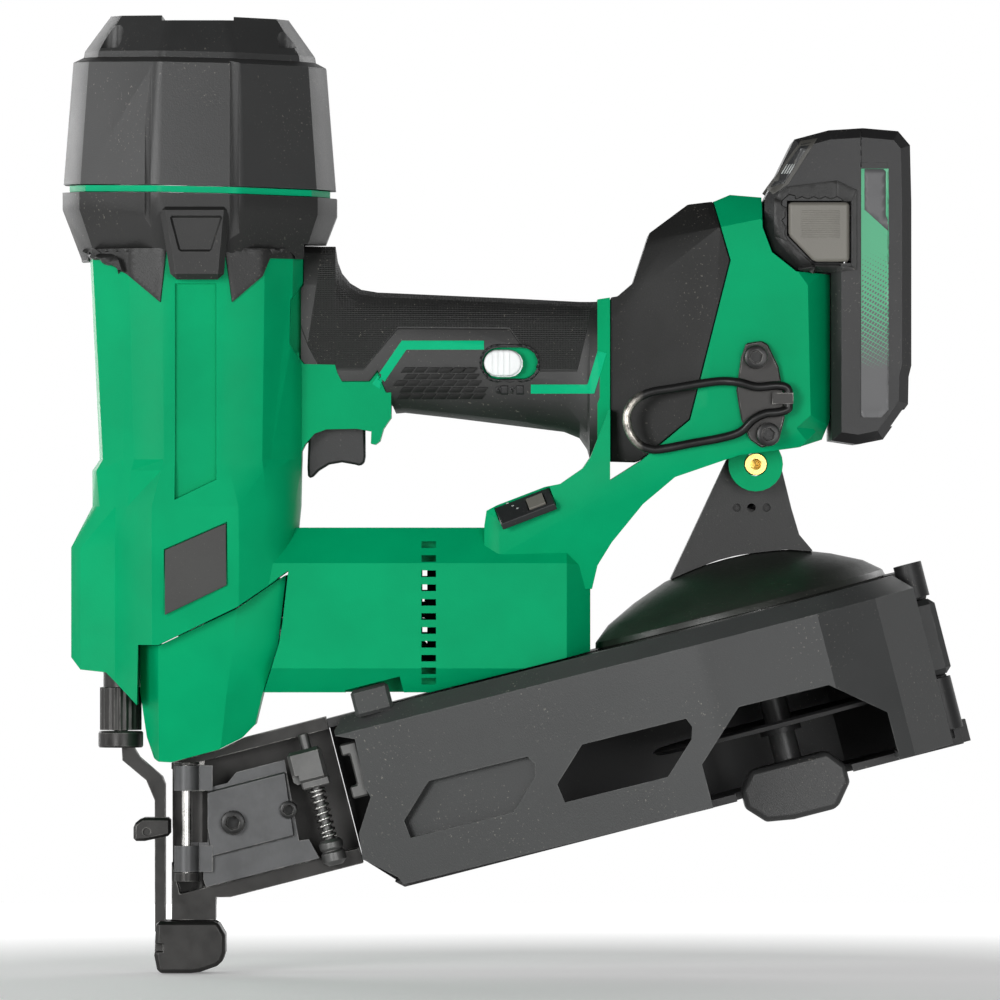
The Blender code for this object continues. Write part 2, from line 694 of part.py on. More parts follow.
def grip_bed():
    """The room that the grip needs around the handle's core."""
    bed = cut(keep(handle(-GAP), box((37.6, 150.7), (-60, 9), (0, 400))), handle(2.9))
    return cut(bed, prism(GREEN_EDGE, -61, 10))


def grip_half():
    shell = cut(handle(), handle(2.5))
    cut(shell, box((0, 300), (-GAP / 2, 60), (0, 400)))
    cut(shell, prism(inset(GREEN_EDGE, -GAP), -60, 60))
    cut(shell, box((0, 38.2), (-60, 60), (0, 400)))
    return shell


def label_outline(margin=0.0):
    return inset([(-10.8, 154.4), (11.7, 164.2), (11.9, 141.3), (-10.8, 130.4)], margin)


def housings():
    left = housing_half()
    right = mirrored(left)
    cut(right, rod(18.35, -12.7, 98.0, (MOTOR_Y, MOTOR_Z), "X", 26))
    cut(left, in_magazine(box((74.0, 94.5), (-60, -10.5), (60, 69.8))))
    cut(left, prism(label_outline(-0.2), -60, -39.2))
    for x, z in ((-30, 225), (30, 222), (30, 180), (60, 146), (122, 146), (222, 210), (212, 262)):
        cut(right, rod(2.6, 30, 60, (x, z), "Y", 12))
    return left, right


def nose_cover():
    levels = [
        (152.0, 33.8, -20.3, 31.0, 27.0), (119.6, 30.0, -20.3, 30.6, 26.0), (101.8, 24.3, -20.3, 27.0, 21.5),
        (86.0, 20.5, -18.0, 24.0, 17.5), (74.0, 17.0, -14.0, 21.5, 14.0),
    ]
    rings = []
    for z, rear, front, deep, shallow in levels:
        near = [(front, -shallow * 0.58), (-13.3, -deep), (rear * 0.47, -deep - 1.2), (rear, -shallow)]
        swell = 4.4 if z > 110 else 0
        far = [(rear, shallow + swell), (rear * 0.47, deep + 1.2), (-13.3, deep), (front, shallow * 0.58)]
        rings.append([(x, y, z) for x, y in near + far])
    shape = loft(rings)
    top = [(-13.1, 119.5), (15.1, 132.8), (32.0, 144.6), (60, 157.6), (60, 200), (-60, 200), (-60, 119.3)]
    cut(shape, prism(top, -60, 60))
    cut(shape, prism([(-60, 40), (-30, 98), (-21.2, 97.6), (-17.7, 80.1), (-14.2, 77.3), (-9.0, 77.0),
                      (8.4, 81.7), (16.8, 85.8), (21.4, 90.5), (60, 90.5), (60, 40)], -60, 60))
    cut(shape, box((-12.4, 14), (-14, 24.6), (60, 160)))
    cut(shape, box((13, 60), (-19.5, 29.2), (108.8, 160)))
    cut(shape, box((-25, -8.9), (-5.7, 5.7), (60, 99)))
    cut(shape, rod(8.8, 60, 126, (DIAL_X, 0), count=24))
    part(shape, "nose_cover", "green_plastic", crease=12)


def label_plate():
    part(prism(label_outline(0.2), -40.6, -39.5), "label_plate", "black_plastic")


# ---------------------------------------------------------------- controls


def panel_frame():
    """Axes of the chamfered face that carries the control panel: along it, across it, and out of it."""
    along = Vector((17.5, 0, 6.7)).normalized()
    inward = Vector((along.z, 0, -along.x))
    across = (inward * 8.0 + Vector((0, -12, 0))).normalized()
    out = across.cross(along).normalized()
    if out.z < 0:
        out = -out
    middle = (Vector((109.5, -26, 170.4)) + Vector((127.0, -26, 177.1))) / 2 + across * 7.2
    return along, across, out, middle


def on_panel(obj):
    along, across, out, middle = panel_frame()
    turn = Matrix((along, across, out)).transposed().to_4x4()
    return moved(obj, Matrix.Translation(middle * MM) @ turn)


def panel_side(obj):
    """Turns a box built as (along, across, out) so that its faces still point outwards."""
    return facing_out(on_panel(obj))


def control_panel(left):
    plate = box((-10.5, 10.5), (-5.6, 5.6), (-2.6, 0.25))
    cut(left, panel_side(box((-10.8, 10.8), (-5.9, 5.9), (-3.0, 4.0))))
    cut(plate, box((0.8, 7.7), (-3.7, 3.7), (-1.6, 3)))
    part(panel_side(plate), "control_panel", "black_plastic")
    button = panel_side(box((1.1, 7.4), (-3.4, 3.4), (-0.45, 0.7)))
    _, _, _, middle = panel_frame()
    part(button, "mode_button", "latch_plastic", pivot=middle)


def trigger():
    outline = [
        (40.6, 190.0), (40.4, 184.0), (40.6, 180.4), (42.0, 180.2), (44.6, 182.9), (48.3, 185.2),
        (52.9, 186.0), (57.6, 185.2), (59.8, 184.6), (61.2, 186.0), (61.6, 188.1), (61.4, 202.0),
        (50.0, 205.5), (47.0, 210.5), (42.5, 210.5), (41.2, 205.0),
    ]
    shape = bevelled(prism(outline, -7.4, 7.4), 1.0, 1, 50)
    cut(shape, rod(1.9, -20, 20, TRIGGER_PIVOT, "Y", 16))
    part(shape, "trigger", "black_plastic", pivot=(TRIGGER_PIVOT[0], 0, TRIGGER_PIVOT[1]))
    part(rod(1.5, -10.5, 10.5, TRIGGER_PIVOT, "Y", 16), "trigger_pin", "bright_steel")
    switch = join(box((68, 92), (-8, 8), (216, 232)), box((66.4, 69), (-2, 2), (217, 226)))
    part(switch, "trigger_switch", "black_plastic")


def stadium(x0, x1, z0, z1, count=8):
    r = (z1 - z0) / 2
    left = circle(r, (x0 + r, z0 + r), count, math.pi / 2, math.pi)
    right = circle(r, (x1 - r, z0 + r), count, -math.pi / 2, math.pi)
    return left + right


def lock_slider(grip):
    cut(grip, prism(stadium(104.0, 124.4, 216.0, 227.8), -30, -14.0))
    slider = prism(stadium(104.8, 119.0, 217.0, 226.8), -18.0, -15.1)
    part(slider, "lock_slider", "white_plastic", pivot=(112, -16, 222))


# ---------------------------------------------------------------- nose and nail door


def nose_body():
    column_box = box((-9.0, 7.0), (-8.2, 9.0), (19.3, 81.0))
    base = in_magazine(box((0, 64.5), (-8.2, 9.0), (7.0, 62.0)))
    join(column_box, base)
    join(column_box, rod(6.6, 19.4, 33.0, (-2.6, -1.5), count=20))
    cut(column_box, box((7.1, 16), (-20, 20), (10, 27.6)))
    cut(column_box, in_magazine(box((-3, 70), (-20, 5.6), (12.6, 57.5))))
    cut(column_box, prism([(-30, 10), (-9.1, 10), (-9.1, 90), (-30, 90)], -60, 60))
    cut(column_box, rod(6.0, 10, 90, count=24))
    cut(column_box, box((-3.6, 3.6), (-6.6, 3.8), (58, 90)))
    cut(column_box, prism([(-20, 81), (-20, 76.6), (-14.2, 76.9), (-9.0, 76.6), (8.4, 81.3), (16.8, 85.4),
        (30, 90)], -60, 60))
    for low, high in ((33.6, 36.7), (76.0, 76.8)):
        knuckle = rod(4.6, low, high, DOOR_AXIS, count=16)
        join(column_box, join(knuckle, box((-8.0, 1.0), (-11, -7.6), (low, high))))
    cut(column_box, rod(2.0, 33.2, 90, DOOR_AXIS, count=16))
    part(column_box, "nose_body", "black_steel")
    part(rod(1.7, 33.9, 75.9, DOOR_AXIS, count=16), "door_hinge_pin", "bright_steel")


def nail_door():
    plate = in_magazine(prism([(7.0, 12.8), (49.6, 12.8), (47.6, 20.4), (44.0, 20.8), (46.2, 50.6),
                               (28.0, 50.6), (24.0, 47.6), (12.0, 47.6), (12.0, 52.6),
                               (3.0, 52.6)], -11.4, -8.5))
    raised = bevelled(in_magazine(prism([(11.5, 22.8), (43.0, 22.8), (45.6, 46.4),
        (13.5, 46.4)], -13.2, -10.5)), 0.6)
    join(plate, raised)
    cut(plate, box((-20, -3.0), (-30, 10), (0, 90)), box((-20, 4.2), (-30, 10), (47.6, 66.5)))
    cut(plate, box((-20, 2.6), (-30, 10), (0, 37)), rod(4.9, 0, 90, DOOR_AXIS, count=16))
    for low, high in ((37.0, 46.5), (66.6, 75.7)):
        knuckle = rod(4.6, low, high, DOOR_AXIS, count=20)
        join(plate, join(knuckle, box((-3.5, 6.0), (-13.6, -9.2), (low, high))))
    cut(plate, rod(2.0, 30, 90, DOOR_AXIS, count=16))
    for u, w, r in ((22.4, 33.2, 2.6), (43.1, 32.7, 2.0)):
        cut(plate, in_magazine(rod(r + 0.2, -20, -5, (u, w), "Y", 16)))
    pivot = (DOOR_AXIS[0], DOOR_AXIS[1], 37)
    part(plate, "nail_door", "gunmetal", pivot=pivot)
    socket_screw("door_screw_front", (22.4, 33.2), 4.4, 2.4, (-16.4, -13.4, -9.0), pivot)
    socket_screw("door_screw_rear", (43.1, 32.7), 3.2, 1.8, (-15.6, -13.4, -9.0), pivot)


def socket_screw(name, centre, head_r, shank_r, levels, pivot):
    """A hexagon-socket screw across the magazine frame, with its head towards -Y."""
    outer, seat, end = levels
    screw = rod(head_r, outer, seat - 0.1, centre, "Y", 20)
    join(screw, rod(shank_r, seat - 1.0, end, centre, "Y", 16))
    cut(screw, rod(head_r * 0.5, outer - 2, outer + 1.8, centre, "Y", 6))
    part(in_magazine(screw), name, "black_steel", pivot=pivot)


def latch():
    """A spring-loaded pin beside the nail door: the bracket is fixed, the pin lifts along w."""
    centre = (LATCH_U, LATCH_Y)
    bracket = bevelled(box((47.4, 60.0), (-18.5, -8.6), (40.6, 52.6)), 1.2)
    join(bracket, bevelled(box((50.0, 60.4), (-17.5, -8.6), (38.2, 41.4)), 0.5))
    cut(bracket, rod(2.3, 30, 60, centre, count=16), box((46, 49.9), (-30, -13.9), (40, 44)))
    part(in_magazine(bracket), "latch_bracket", "gunmetal")
    pin = rod(1.9, 15, 58.0, centre, count=16)
    knob = [(0, 9.0), (2.6, 9.0), (4.4, 10.6), (4.4, 13.6), (3.6, 14.4), (4.4, 15.4), (4.4, 17.4),
        (3.4, 18.6), (0, 18.6)]
    join(pin, turned(knob, centre, count=20))
    pivot = magazine_point(LATCH_U, LATCH_Y, 18.6)
    part(in_magazine(pin), "latch_pin", "black_steel", pivot=pivot)
    part(in_magazine(helix(2.95, 0.55, 18.9, 37.9, 8, centre)), "latch_spring", "bright_steel")


def helix(radius, wire, low, high, turns, centre, steps=10, sides=4):
    """A coil spring: a wire of round section swept along a helix about the w axis."""
    rings = []
    total = turns * steps
    rise = (high - low - 2 * wire) / total
    slope = math.atan2(rise * steps, 2 * math.pi * radius)
    for i in range(total + 1):
        a = 2 * math.pi * i / steps
        radial = Vector((math.cos(a), math.sin(a), 0))
        along = Vector((-math.sin(a) * math.cos(slope), math.cos(a) * math.cos(slope), math.sin(slope)))
        across = along.cross(radial)
        middle = Vector((centre[0], centre[1], low + wire + rise * i)) + radial * radius
        turn = [2 * math.pi * s / sides for s in range(sides)]
        rings.append([tuple(middle + wire * (math.cos(t) * radial + math.sin(t) * across)) for t in turn])
    return loft(rings)


def contact_arm():
    """The push lever: a bent flat bar from the depth dial down to the work-contact nose."""
    bar = [
        (-27.3, 82.2), (-27.1, 77.4), (-18.4, 70.1), (-15.3, 62.8), (-15.2, 15.0), (-11.4, 15.0),
        (-11.4, 68.6), (-12.4, 71.4), (-20.8, 78.6), (-22.9, 82.2),
    ]
    arm = prism(bar, -5.0, 5.0)
    link = [(-23.0, 48.0), (-18.9, 48.0), (-9.4, 50.0), (-9.4, 56.5), (-20.0, 56.5), (-23.0, 54.0)]
    join(arm, bevelled(prism(link, -7.6, 7.6), 1.0))
    cut(arm, box((-11.4 + 1.9, 0), (-10, 10), (40, 60)), rod(1.5, -10, -6.2, (-18.2, 51.4), "Y", 12))
    collar = [(0, 82.0), (7.8, 82.0), (8.2, 82.6), (8.2, 87.4), (7.8, 88.0), (0, 88.0)]
    join(arm, turned(collar, (DIAL_X, 0), count=24))
    join(arm, rod(2.6, 87, 100, (DIAL_X, 0), count=16))
    part(arm, "contact_arm", "black_steel", pivot=(-25.4, 0, 82))
    nose = [
        (-15.3, 6.4), (-14.0, 0.0), (-2.0, 0.0), (1.4, 0.4), (7.6, 2.6), (9.6, 4.4), (10.6, 7.4),
        (10.6, 14.1), (7.8, 18.9), (-14.6, 18.9),
    ]
    tip = bevelled(prism(nose, -12.5, 12.5), 1.2, 1, 50)
    cut(tip, rod(6.0, -5, 25, count=24), box((-9.7, 7.6), (-8.9, 9.7), (8.0, 30)))
    cut(tip, box((-16, -11.0), (-5.3, 5.3), (14.7, 30)))
    cut(tip, box((-16, -12.0), (-13, -8), (7.8, 10.8)), box((-16, -12.0), (8, 13), (7.8, 10.8)))
    part(tip, "contact_nose", "black_steel", pivot=(0, 0, 0))


def depth_dial():
    """Knurled depth-of-drive wheel on the push lever's threaded end."""
    knurl = []
    for k in range(22):
        for share, r in ((0.0, 7.3), (0.5, 7.7)):
            a = 2 * math.pi * (k + share) / 22
            knurl.append((DIAL_X + r * math.cos(a), r * math.sin(a)))
    dial = prism(knurl, 88.4, 104.0, "Z")
    join(dial, rod(6.4, 103, 110.5, (DIAL_X, 0), count=20))
    cut(dial, rod(2.9, 80, 101, (DIAL_X, 0), count=16))
    part(dial, "depth_dial", "black_steel", pivot=(DIAL_X, 0, 88.4))
    part(helix(4.6, 0.6, 110.9, 139.6, 7, (DIAL_X, 0), steps=8), "contact_spring", "bright_steel")


# ---------------------------------------------------------------- magazine

DRUM_SIDE = [(64.6, 17.0), (170.0, 53.0), (198.0, 61.0), (206.0, HALF_WIDTH), (246.0, HALF_WIDTH),
             (268.0, 49.0), (282.0, 28.0), (287.4, 8.0)]


def magazine_outline(inset_by=0.0, near_edge=-7.8):
    far = DRUM_SIDE + [(287.4, near_edge), (64.6, near_edge)]
    return inset(far, inset_by)


def magazine_body():
    """The fixed, far half: floor, outer wall and the roof over the nail passage, open towards the cover."""
    body = prism(magazine_outline(), -5.2, 61.0, "Z")
    hollow = [(u, y) for u, y in magazine_outline(2.6)][:-2] + [(284.8, -20), (60.0, -20), (60.0, 14.4)]
    cut(body, prism(hollow, -2.4, 57.8, "Z"))
    cut(body, rod(53.6, 50, 70, (DRUM_U - 3.5, 0), count=40))
    cut(body, rod(23.2, -10, 0, (DRUM_U, 0), count=32), box((60, 290), (-30, -7.9), (-10, 70)))
    cut(body, prism([(60, 12.6), (64.5, 7.7), (74.6, -3.0), (78.0, -6.0), (78, -20), (50, -20),
        (50, 12.6)], -60, 80))
    for low, high in ((1.0, 20.2), (50.4, 63.2)):
        knuckle = rod(5.2, low, high, (COVER_HINGE_U, COVER_HINGE_Y), count=20)
        join(body, knuckle, box((281.5, 287.3), (COVER_HINGE_Y, 2), (low, min(high, 60.5))))
    join(body, rod(2.0, 19, 51, (COVER_HINGE_U, COVER_HINGE_Y), count=12))
    join(body, box((266, 290.2), (-4, 6), (-4.9, 3.2)))
    cut(body, box((270, 292.6), (-30, 0.6), (20.9, 49.7)))
    part(in_magazine(body), "magazine_body", "black_plastic")


def magazine_lid():
    """The domed drum lid, and under it the rim that sits on the drum wall."""
    centre = (DRUM_U - 3.5, 0)
    dome = [
        (0, 81.4), (12, 81.0), (24, 78.8), (37, 74.0), (48, 68.6), (54.0, 63.6), (54.6, 61.3), (53.2, 61.3),
        (53.2, 56.0), (50.6, 56.0), (50.6, 62.0), (37, 71.2), (20, 77.4), (0, 78.8),
    ]
    part(in_magazine(turned(dome, centre, count=30)), "magazine_lid", "smoke_plastic")


def magazine_arm():
    """The bracket that hangs the drum from the rear housing, with its foot shaped to the lid."""
    side = [(193.1, 186.7), (198.0, 194.0), (209.0, 194.0), (213.1, 184.0), (216.8, 169.0), (219.6, 159.7),
            (224.3, 154.1), (226.0, 140.0), (171.0, 140.0)]
    arm = prism(side, -9.6, 9.6)
    dome = [(0, 81.9), (10, 81.7), (24, 79.3), (37.3, 74.5), (48.4, 69.1), (53.2, 65.4), (56, 62), (56, 30),
        (0, 30)]
    cut(arm, in_magazine(turned(dome, (DRUM_U - 3.5, 0), count=40)))
    cut(arm, rod(4.3, -30, 30, (203.5, 185.3), "Y", 20))
    for x in (196.8, 202.2, 207.6):
        cut(arm, prism(circle(1.6, (x, 169.5), 10), -30, -7))
    part(arm, "magazine_arm", "black_plastic")
    insert = cut(rod(4.0, -22.0, 9.0, (203.5, 185.3), "Y", 24), rod(1.9, -30, 4, (203.5, 185.3), "Y", 16))
    part(insert, "arm_insert", "brass")


WINDOWS = [
    [(95.3, 30.4), (132.2, 30.4), (134.2, 27.2), (133.4, 23.0), (122.4, 12.0), (83.8, 12.0), (83.0, 18.6)],
    [(152.5, 29.8), (191.0, 29.8), (192.4, 26.4), (191.0, 22.0), (179.5, 11.0), (141.3, 11.0), (140.2, 18.0)],
    [(192.5, 12.4), (210.4, 29.2), (243.8, 28.8), (262.0, 13.8), (262.2, -20), (192.5, -20)],
]

COVER_SIDE = [(u, -y) for u, y in DRUM_SIDE[:-2]] + [(283.0, -26.0)]


def cover_shape(low, high, margin=0.0, chamfer=6.0):
    """The near shell's solid, from its plan outline, with the long top edge leaning inwards."""
    rings = []
    for w, lean in ((low, margin), (high - chamfer, margin), (high, margin + chamfer)):
        ring = inset(COVER_SIDE + [(283.0, 20.0), (64.6, 20.0)], lean)
        rings.append([(u, min(y, -9.2), w) for u, y in ring])
    return loft(rings)


def magazine_cover():
    """The near shell with its windows, which swings on the rear hinge to load a coil of nails."""
    cover = cover_shape(-3.8, 60.6)
    inner = cover_shape(-1.2, 58.0, 2.6)
    cut(cover, inner, box((60, 282), (-16.0, 0), (-1.2, 55.0)))
    silhouette = [(66.4, 61.0), (66.4, 54.5), (73.0, 51.7), (72.2, 34.2), (73.3, 29.8), (65.9, 18.1),
                  (64.8, 8.6), (75.7, -0.8), (80, -10), (40, -10), (40, 61)]
    cut(cover, prism(silhouette, -80, 10))
    blind = WINDOWS[0]
    join(cover, side_wall_block(inset(blind, -1.8), 1.4, 6.2))
    cut(cover, side_wall_block(blind, -20.0, 4.6))
    for window in WINDOWS[1:]:
        cut(cover, prism(window, -80, -14))
    cut(cover, box((192.5, 262.2), (-80, 0), (-10, 0)), rod(53.7, 50, 70, (DRUM_U - 3.5, 0), count=32))
    join(cover, bevelled(box((75.5, 89.5), (-21.5, -12), (59, 69)), 1.2))
    block = bevelled(box((272.0, 289.6), (-14.6, -3.0), (21.4, 49.2)), 2.0)
    arm = prism([(268.0, -34.0), (280.4, -28.0), (282.0, -12.0), (274.0, -11.0)], 21.4, 49.2, "Z")
    join(cover, join(block, arm))
    cut(cover, rod(2.4, -20, 80, (COVER_HINGE_U, COVER_HINGE_Y), count=16))
    for low, high in ((-10, 21.0), (49.8, 80)):
        cut(cover, rod(6.2, low, high, (COVER_HINGE_U, COVER_HINGE_Y), count=20))
    pivot = magazine_point(COVER_HINGE_U, COVER_HINGE_Y, 21.4)
    part(in_magazine(cover), "magazine_cover", "magazine_plastic", pivot=pivot)
    catch = box((66.8, 73.2), (-15.4, -12.4), (30.6, 51.0))
    cut(catch, box((60, 69.6), (-30, 0), (35.4, 46.6)))
    part(in_magazine(bevelled(catch, 0.6)), "cover_catch", "gunmetal", pivot=pivot)


def side_wall_block(outline, start, end):
    """A block that follows the cover's sloping side wall, from one depth below its outer face to another."""
    (u0, y0), (u1, y1) = COVER_SIDE[0], COVER_SIDE[1]
    slope = (y1 - y0) / (u1 - u0)
    return loft([[(u, y0 + slope * (u - u0) + depth, w) for u, w in outline] for depth in (start, end)])


def nail_holder():
    """The plate that carries the nail coil, sliding on the drum's post, and the post's foot knob."""
    centre = (DRUM_U, 0)
    plate = [(5.4, 15.0), (7.6, 15.0), (7.6, 17.0), (45.5, 18.0), (47.4, 19.4), (45.5, 20.4), (5.4, 19.4)]
    pivot = magazine_point(DRUM_U, 0, 15)
    part(in_magazine(turned(plate, centre, count=28)), "nail_holder", "magazine_plastic", pivot=pivot)
    knob = [(-14.5, 4.6), (-19.6, -2.0), (-19.6, -8.5), (-13.5, -15.0), (-3.5, -16.6), (13.0, -16.6),
            (19.6, -8.5), (19.6, -2.0), (14.5, 4.6)]
    block = bevelled(prism([(DRUM_U + u, w) for u, w in knob], -10.5, 10.5), 1.4, 1, 50)
    join(block, rod(5.0, 0, 52, centre, count=20))
    part(in_magazine(block), "holder_knob", "black_plastic", pivot=magazine_point(DRUM_U, 0, 0))


# ---------------------------------------------------------------- battery, electronics, hook

BATTERY_OUTLINE = [
    (230.7, 193.8), (240.2, 192.4), (249.3, 194.2), (258.4, 207.0), (258.6, 217.0), (259.6, 221.0),
    (259.6, 280.0), (259.1, 300.8), (254.8, 305.9), (242.0, 307.0), (229.6, 306.2), (217.2, 302.9),
    (209.1, 286.5), (206.4, 281.2), (206.4, 271.4), (209.6, 262.6), (218.2, 255.6), (230.7, 254.6),
]


def battery():
    near = slab(BATTERY_OUTLINE, BATTERY_Y, (3.5, 4))
    case = join(near, mirrored(near))
    cut(case, box((240.9, 250.9), (-60, -BATTERY_Y + 0.4), (202.4, 294.4)))
    tongue = box((224.6, 232.0), (-23.8, 23.8), (204.2, 262.0))
    for y in (-15, -5, 5, 15):
        cut(tongue, box((222, 229.8), (y - 1.0, y + 1.0), (200, 226)))
    join(case, tongue)
    cut(case, box((233.4, 257.0), (-34.6, 34.6), (199.0, 300.0)), box((233.4, 242.0), (-4, 4), (180, 200)))
    pocket = [(214.4, 280.6), (237.6, 280.6), (237.6, 258.0), (224.0, 258.0), (214.4, 268.0)]
    cut(case, prism(pocket, -60, -31.6), prism(pocket, 31.6, 60))
    part(case, "battery_case", "black_plastic", pivot=(245, 0, 192.4))
    for name, side in (("battery_latch_left", -1), ("battery_latch_right", 1)):
        button = bevelled(prism(inset(pocket, 0.5), -39.0, -34.6), 1.0)
        if side > 0:
            button = moved(button, Matrix.Scale(-1, 4, (0, 1, 0)))
        part(button, name, "latch_plastic", pivot=(226, side * 36, 269))
    cells = rod(9.0, -31.2, 31.2, (245, 209.5), "Y", 16)
    for k in range(1, 5):
        join(cells, rod(9.0, -31.2, 31.2, (245, 209.5 + 18.4 * k), "Y", 16))
    join(cells, box((243, 247), (-32.4, -31.0), (205, 288)), box((243, 247), (31.0, 32.4), (205, 288)))
    part(cells, "cell_pack", "gunmetal", pivot=(245, 0, 200))


def electronics():
    board = join(box((182, 185), (-22.4, 22.4), (202, 264)), box((184, 190), (-18, 18), (208, 240)))
    join(board, box((184, 193), (-8, 8), (244, 258)))
    part(board, "controller_board", "circuit_board")
    block = box((208, 221.2), (-22, 22), (203.5, 228))
    for y in (-15, -5, 5, 15):
        join(block, box((220, 229.0), (y - 0.45, y + 0.45), (205.5, 221)))
    part(block, "terminal_block", "black_plastic")


def hook():
    centre_line = [
        (214.8, -42.5, 211.6), (214.4, -42.6, 213.6), (210.5, -43.2, 213.6), (203.3, -43.4, 213.0),
        (199.6, -43.4, 213.8), (193.2, -42.4, 215.5), (188.4, -41.6, 215.1), (173.5, -40.6, 212.7),
        (165.2, -40.2, 211.3), (160.5, -40.0, 209.0), (157.2, -40.0, 205.2), (156.6, -40.0, 200.6),
        (158.2, -40.0, 196.0), (161.4, -40.0, 192.3), (165.6, -40.2, 190.6), (169.8, -40.4, 190.9),
        (188.4, -41.6, 194.3), (195.9, -42.4, 196.2), (199.2, -43.0, 198.3), (202.4, -43.4, 201.6),
        (206.2, -43.4, 203.4), (210.8, -43.2, 204.0), (214.4, -42.6, 204.2), (214.8, -42.5, 206.4),
    ]
    wire = polyline_tube(centre_line, 1.65, 8)
    part(wire, "hook_wire", "black_steel", pivot=(HOOK_AXIS[0], HOOK_AXIS[1], 209))
    plate = [
        (199.6, 229.0), (205.2, 229.9), (207.5, 228.6), (211.3, 220.6), (213.1, 211.0), (213.6, 202.0),
        (211.3, 193.2), (205.2, 191.1), (201.0, 194.1), (197.8, 201.6), (196.1, 211.8), (197.8, 223.9),
    ]
    base = bevelled(prism(plate, -40.6, -38.3), 0.5)
    join(base, box((209, 216.6), (-44.2, -40.2), (207.0, 211.0)))
    part(base, "hook_base", "black_steel")
    for name, centre in (("hook_screw_upper", (203.2, 224.0)), ("hook_screw_lower", (207.6, 196.0))):
        screw = cut(rod(4.2, -45.2, -40.9, centre, "Y", 20), rod(2.1, -47, -42.6, centre, "Y", 6))
        part(screw, name, "black_steel")


def polyline_tube(points, radius, sides):
    """A round wire through the points, with its section turned as little as possible from one to the next."""
    points = [Vector(p) for p in points]
    tangents = []
    for i in range(len(points)):
        ahead = points[min(i + 1, len(points) - 1)] - points[i]
        behind = points[i] - points[max(i - 1, 0)]
        tangents.append((ahead.normalized() + behind.normalized()).normalized())
    side = tangents[0].orthogonal().normalized()
    rings = []
    for point, tangent in zip(points, tangents):
        side = (side - tangent * side.dot(tangent)).normalized()
        up = tangent.cross(side)
        turn = [2 * math.pi * k / sides for k in range(sides)]
        rings.append([tuple(point + radius * (math.cos(t) * side + math.sin(t) * up)) for t in turn])
    return loft(rings)


# ---------------------------------------------------------------- the assembly


def build_drive():
    air_chamber()
    cylinder()
    bumper()
    piston()
    driver_blade()
    lifter_wheel()
    ring_gear()
    planet_gears()
    motor_rotor()
    motor_stator()
    cooling_fan()


def build_body():
    head_cap()
    cap_ring()
    near = column()
    whole = join(mirrored(near), near)
    wrap = moved(whole, Matrix.Diagonal((1.018, 1.018, 1.0, 1.0)))
    head_collar(wrap)
    bpy.data.objects.remove(wrap)
    left, right = housings()
    control_panel(left)
    part(left, "housing_left", "green_plastic", crease=12)
    part(right, "housing_right", "green_plastic", crease=12)
    nose_cover()
    label_plate()
    grip = grip_half()
    part(mirrored(grip), "grip_right", "grip_rubber")
    lock_slider(grip)
    part(grip, "grip_left", "grip_rubber")
    pad = rear_pad()
    part(mirrored(pad), "rear_pad_right", "grip_rubber", crease=12)
    part(pad, "rear_pad_left", "grip_rubber", crease=12)
    trigger()


def build_nose():
    nose_body()
    nail_door()
    latch()
    contact_arm()
    depth_dial()


def build_magazine():
    magazine_body()
    magazine_lid()
    magazine_arm()
    magazine_cover()
    nail_holder()


def main():
    clear_scene()
    datum = bpy.data.objects.new("tool_datum", None)
    datum.location = (-(FRONT + REAR) / 2 * MM, 0, 0)
    bpy.context.scene.collection.objects.link(datum)
    build_drive()
    build_body()
    build_nose()
    build_magazine()
    battery()
    electronics()
    hook()


main()
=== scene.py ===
"""The looks of the cordless coil roofing nailer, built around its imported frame.

Lengths here are in millimetres in the design frame: X from the driving axis back to the battery, -Y towards
the near side, Z up from the work-contact face. at() turns them into the row frame's metres. The magazine has
a frame of its own, tilted about Y: u along it, w up.
"""

import math

import bmesh
import bpy
from mathutils import Matrix, Vector
from mathutils.bvhtree import BVHTree


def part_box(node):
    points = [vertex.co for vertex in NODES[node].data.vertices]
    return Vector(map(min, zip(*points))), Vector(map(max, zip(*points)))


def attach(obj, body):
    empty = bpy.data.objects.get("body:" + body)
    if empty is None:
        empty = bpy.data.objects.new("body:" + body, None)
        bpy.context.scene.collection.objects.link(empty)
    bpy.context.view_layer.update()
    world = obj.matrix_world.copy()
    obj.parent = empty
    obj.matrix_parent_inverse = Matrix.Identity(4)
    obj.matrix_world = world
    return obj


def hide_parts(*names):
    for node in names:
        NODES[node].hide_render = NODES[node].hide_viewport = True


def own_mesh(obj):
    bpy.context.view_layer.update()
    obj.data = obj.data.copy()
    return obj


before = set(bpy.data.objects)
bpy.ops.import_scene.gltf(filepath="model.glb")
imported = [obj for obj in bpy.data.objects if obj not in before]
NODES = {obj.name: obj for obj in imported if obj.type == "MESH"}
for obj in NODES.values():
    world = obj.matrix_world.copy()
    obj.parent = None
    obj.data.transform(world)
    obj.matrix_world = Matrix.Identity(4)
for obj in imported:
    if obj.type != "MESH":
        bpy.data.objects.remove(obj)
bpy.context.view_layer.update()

MM = 0.001
AXIS_X = sum(corner.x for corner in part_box("cylinder")) / 2  # the driving axis in the row frame
NEAR, FAR = -1, 1  # the two sides of the tool, along Y

MAG_TILT = math.radians(14.4)
MAG_Z = 17.2

VIEW_CENTRE = (110.6, 0.0, 172.3)
VIEW_WIDTH = 365.0
CAMERA_DISTANCE = 4400.0


def at(x, y, z):
    return Vector((AXIS_X + x * MM, y * MM, z * MM))


TO_METRES = Matrix.Diagonal((MM, MM, MM, 1))
MAG_MATRIX = Matrix.Translation(at(0, 0, MAG_Z)) @ Matrix.Rotation(-MAG_TILT, 4, "Y") @ TO_METRES


def in_magazine(u, y, w):
    return MAG_MATRIX @ Vector((u, y, w))


# ---------------------------------------------------------------- materials


